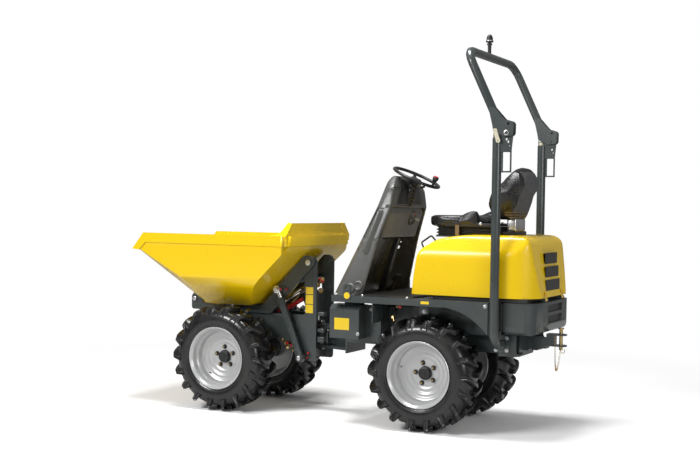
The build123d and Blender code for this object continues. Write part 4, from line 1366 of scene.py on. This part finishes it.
# %% Hinge hardware
post_heads = [soft_block(place(-530, side * 465 - 11, 1900), place(-484, side * 465 + 11, 1960), 0.004)
              for side in (1, -1)]
hand_over(joined(post_heads), "post_heads", "rear", GREY, 30)
LINK_Y = 496.2
hinge_pins, hinge_levers, cheek_bolts = [], [], []
for side in (1, -1):
    out = (0, side, 0)
    hinge_pins.append(stood(lathe([(0.010, 0), (0.017, 0.0005), (0.0175, 0.005), (0.015, 0.0065),
                                   (0.004, 0.007)], 32), place(-577, side * 491.5, 1949), out))
    lever = lathe([(0.0145, -0.0022), (0.015, 0.0), (0.0145, 0.0022), (0.004, 0.0022),
                   (0.004, -0.0022)], 32, ring=True)
    stood(lever, place(-503, side * LINK_Y, 1962), out)
    foot = copy_of(lever)
    foot.location = Vector((-0.021, 0, -0.062))
    settle(foot)
    strap = soft_block(place(-517.5, side * LINK_Y - 2.1, 1900),
                       place(-488.5, side * LINK_Y + 2.1, 1962), 0.001, 1)
    open_edit(strap)
    select_points(strap, lambda p: p.z < 1.92)
    bpy.ops.transform.translate(value=(-0.021, 0, 0))
    bpy.ops.object.mode_set(mode="OBJECT")
    hinge_levers += [lever, foot, strap]
    cheek_bolts.append(hexagon_bolt(place(-577, side * 477.5, 1906), out, 0.007, 0.005))
CREAM = finish("pale lever paint", (0.62, 0.58, 0.42), 0.4, 0.5, dust=0.1)
locks = [stood(lathe([(0.016, 0), (0.0165, 0.004), (0.012, 0.010), (0.008, 0.014), (0.003, 0.015)], 28),
               place(-507, side * 455, 1928), (0, -side, 0)) for side in (1, -1)]
for name, body, pieces_made, slot, made in (
        ("post_lock_bolts", "rear", locks, "pin_zinc", CREAM),
        ("hinge_pin_heads", "roll_hoop", hinge_pins, "machine_steel", SILVER),
        ("hinge_levers", "roll_hoop", hinge_levers, "pin_zinc", CREAM),
        ("hinge_lock_bolts", "rear", cheek_bolts, "machine_steel", SILVER)):
    hand_over(joined(pieces_made), name, body, made, 30)

stem_foot = place(-293, 45, 2508)
beacon_body = lathe([(0.012, 0.0), (0.0125, 0.058), (0.018, 0.060), (0.018, 0.068), (0.0125, 0.070),
                     (0.0125, 0.076), (0.0245, 0.078), (0.0250, 0.084), (0.0235, 0.090), (0.0225, 0.093),
                     (0.0205, 0.108), (0.0165, 0.119), (0.0115, 0.127), (0.005, 0.130)], 40)
beacon_body.location = stem_foot
hand_over(beacon_body, "beacon_dressed", "roll_hoop", BLACK, 35, ("beacon",))
band = lathe([(0.0252, 0.0845), (0.0255, 0.086), (0.0240, 0.0905), (0.0232, 0.091)], 40)
band.location = stem_foot
hand_over(band, "beacon_band", "roll_hoop", SILVER, 35)
print("roll bar fittings done")

# %% [markdown]
# ## Pins, grease nipples and hydraulics at the front
#
# Arms, cylinders and skip turn on plated pins, and red caps cover the grease nipples. Pins,
# fittings and caps are turned. A pipe is a bevelled curve whose control points are listed and
# which is then made a mesh.

# %% Makers of pins, pipes, fittings and caps
def pin_head(x, y, z, side, radius=0.016):
    head = lathe([(radius * 0.7, 0), (radius, 0.0008), (radius, 0.004), (radius * 0.86, 0.0055),
                  (radius * 0.5, 0.0058), (radius * 0.42, 0.004), (radius * 0.1, 0.004)], 32)
    return stood(head, place(x, side * y, z), (0, side, 0))


def pipe(points, radius, steps=3):
    """A bevelled NURBS path through listed points, made a mesh."""
    clear_selection()
    bpy.ops.curve.primitive_nurbs_path_add()
    path = bpy.context.object
    spline = path.data.splines[0]
    spline.points.add(max(0, len(points) - len(spline.points)))
    if len(points) < len(spline.points):
        path.data.splines.clear()
        spline = path.data.splines.new("NURBS")
        spline.points.add(len(points) - 1)
    for knot, spot in zip(spline.points, points):
        knot.co = (*place(*spot), 1)
    spline.order_u = 3
    spline.use_endpoint_u = True
    spline.resolution_u = 8
    path.location = (0, 0, 0)
    path.data.bevel_depth = radius
    path.data.bevel_resolution = steps
    path.data.use_fill_caps = True
    bpy.ops.object.convert(target="MESH")
    return bpy.context.object


def fitting(x, y, z, way, radius=0.011, length=0.034):
    """A hose fitting: hexagon nut, neck and collar."""
    start = place(x, y, z)
    way = Vector(way).normalized()
    nut = hexagon_bolt(start, way, radius * 1.25, length * 0.4)
    neck = round_bar(start + way * length * 0.4, start + way * length, radius * 0.75, 16)
    collar = round_bar(start + way * length * 0.8, start + way * length * 1.05, radius, 16)
    return joined([nut, neck, collar])


def cap(x, y, z, way, radius=0.008):
    return round_bar(place(x, y, z), place(x, y, z) + Vector(way).normalized() * 0.014, radius, 16)


print("makers ready: pin_head, pipe, fitting, cap")

# %% [markdown]
# ## Pin heads and grease caps
#
# Each row of pins rides on the body that carries its bore, so the heads follow the linkage.

# %% Pin heads and caps
front_pins = [pin_head(1042, 214, 387, side, 0.017) for side in (1, -1)]
front_pins += [pin_head(1004, 162, 1069, side, 0.021) for side in (1, -1)]
hand_over(joined(front_pins), "front_pin_heads", "front", SILVER, 40)
hand_over(joined([pin_head(1236, 216, 869, side, 0.0185) for side in (1, -1)]), "lift_pin_heads",
          "lift_rods", SILVER, 40)
hand_over(joined([pin_head(1965, 166, 768, side, 0.017) for side in (1, -1)]), "skip_pin_heads",
          "lift_arms", SILVER, 40)
hand_over(joined([cap(1200, side * 207, 872, (-0.5, side, 0.2)) for side in (1, -1)]
                 + [cap(1176, side * 156, 868, (0, side, 0)) for side in (1, -1)]),
          "arm_grease_caps", "lift_arms", RED, 40)
hand_over(joined([cap(1000, side * 137, 420, (0, side, 0)) for side in (1, -1)]
                 + [cap(1010, side * 137, 386, (0, side, 0), 0.006) for side in (1, -1)]
                 + [cap(946, 78, 948, (0, 1, 0.2)), cap(944, 40, 930, (0, 1, 0.2)),
                    cap(1186, 108, 476, (0.3, 1, 0.2), 0.009), cap(1150, 108, 462, (0.3, 1, 0.2), 0.009)]),
          "frame_grease_caps", "front", RED, 40)
print("pin heads:", len(front_pins) + 4)

# %% [markdown]
# ## Hydraulics of the mast
#
# Two pipes come down the mast and run to the cylinders, and gold fittings join them. Between the
# arms lie a red service strut and two bright supply pipes, which move with the arms.

# %% Mast hydraulics
GOLD = finish("gold passivated fitting", (0.72, 0.52, 0.25), 0.28, 0.4, dust=0.05, metallic=1.0)
fittings = [fitting(960, 30, 936, (0, 1, 0.05), 0.014, 0.044),
            fitting(985, 40, 905, (0, 1, 0.1), 0.012, 0.04),
            fitting(965, 35, 862, (0, 1, 0), 0.012, 0.036),
            fitting(1225, 60, 470, (-0.7, 1, -0.6), 0.012, 0.06),
            fitting(1180, 50, 452, (-0.6, 1, -0.9), 0.010, 0.05),
            fitting(1262, 60, 500, (-0.7, 1, 0.6), 0.010, 0.04)]
hand_over(joined(fittings), "hose_fittings_front", "front", GOLD, 35)
front_pipes = [pipe([(960, 90, 938), (990, 112, 938), (1012, 116, 900), (1015, 100, 800),
                     (1014, 96, 620), (1040, 90, 500), (1130, 70, 470), (1230, 60, 470)], 0.009),
               pipe([(965, 70, 862), (985, 84, 850), (994, 70, 700), (996, 60, 560), (1080, 40, 480),
                     (1180, 50, 452)], 0.009)]
hand_over(joined(front_pipes), "mast_pipes", "front", BLACK, 60)
strut = joined([round_bar(place(1092, 62, 800), place(1240, 62, 716), 0.016, 20),
                round_bar(place(1230, 62, 722), place(1300, 62, 698), 0.010, 16)])
hand_over(strut, "service_strut", "lift_arms", RED, 40)
arm_rods = [round_bar(place(1096, 84, 872), place(1320, 84, 722), 0.009, 16),
            round_bar(place(1096, 104, 850), place(1330, 104, 712), 0.0075, 16)]
hand_over(joined(arm_rods), "arm_supply_pipes", "lift_arms", CHROME, 40)
print("fittings:", len(fittings), "pipes:", len(front_pipes) + len(arm_rods))

# %% [markdown]
# ## Steering joint and pipes under the deck
#
# The two halves of the machine meet at a stack of blocks and a bright pin. Under the deck a bent
# pipe and a few fittings show in front of the rear wheel.

# %% Joint blocks and pipes
blocks = [soft_block(place(885, 92, low), place(938, 128, high), 0.004)
          for low, high in ((690, 716), (572, 598), (500, 540))]
hand_over(joined(blocks), "joint_blocks", "front", GREY, 30)
hand_over(round_bar(place(931, 118, 658), place(931, 118, 692), 0.007, 20), "joint_guide_pin", "front",
          SILVER, 40)
under_pipes = [pipe([(380, 300, 770), (384, 322, 740), (392, 326, 700), (396, 324, 660),
                     (436, 318, 625), (438, 312, 585), (430, 306, 570)], 0.0085),
               pipe([(300, 250, 820), (262, 300, 812), (230, 340, 790), (236, 352, 752),
                     (244, 354, 735)], 0.010),
               pipe([(120, 260, 815), (160, 330, 818), (200, 352, 812), (228, 350, 800),
                     (300, 300, 806)], 0.009)]
hand_over(joined(under_pipes[:1]), "bent_pipe", "rear", CASTING, 60)
hand_over(joined(under_pipes[1:]), "under_deck_pipes", "rear", BLACK, 60)
rear_fittings = [fitting(244, 352, 742, (-0.5, 0.3, -1), 0.011, 0.036),
                 fitting(210, 350, 812, (-1, 0.3, -0.1), 0.010, 0.03)]
hand_over(joined(rear_fittings), "hose_fittings_rear", "rear", GOLD, 35)
hand_over(cap(188, 356, 812, (0, 1, -0.4), 0.012), "rear_red_cap", "rear", RED, 40)
bracket = joined([soft_block(place(-30, 396, 772), place(34, 400, 868), 0.0015),
                  soft_block(place(-30, 396, 862), place(34, 440, 867), 0.0015)])
hand_over(bracket, "deck_bracket", "rear", GREY, 30)
hand_over(hexagon_bolt(place(-2, 400, 790), (0, 1, 0), 0.011, 0.008), "deck_bracket_bolt", "rear",
          SILVER, 30)


# %% [markdown]
# ## The tow pin's chain
#
# The tow pin has a light chain, so that it can't be lost. Its links are one small torus, copied
# along a curve with every second one turned. A bent wire clip keeps the pin in the hitch.

# %% Chain and clip
def chain(start, low, end, count):
    """Links along a hanging curve between two points, through a low point."""
    start, low, end = (Vector(place(*spot)) for spot in (start, low, end))
    clear_selection()
    bpy.ops.mesh.primitive_torus_add(major_radius=0.0058, minor_radius=0.0013, major_segments=12,
                                     minor_segments=6)
    link = bpy.context.object
    link.scale = (1.45, 0.8, 1)
    settle(link)
    links = []
    for step in range(count):
        share = (step + 0.5) / count
        control = low * 2 - (start + end) / 2
        spot = start * (1 - share) ** 2 + control * 2 * share * (1 - share) + end * share ** 2
        way = (control - start) * (1 - share) + (end - control) * share
        twin = copy_of(link)
        twin.rotation_euler = (Matrix.Rotation(math.radians(90 * (step % 2)), 4, "X")).to_euler()
        settle(twin)
        twin.rotation_euler = way.to_track_quat("X", "Z").to_euler()
        twin.location = spot
        links.append(settle(twin))
    bpy.data.objects.remove(link)
    return joined(links)


hand_over(chain((-775, 20, 655), (-786, 26, 425), (-812, 20, 545), 30), "tow_pin_chain", "rear",
          GOLD, 60)
clip = pipe([(-812, 2, 560), (-812, 24, 560), (-818, 30, 545), (-830, 22, 532), (-838, 4, 540),
             (-832, -6, 556)], 0.0022)
hand_over(clip, "tow_pin_clip", "rear", GOLD, 60)
print("chain and clip done")
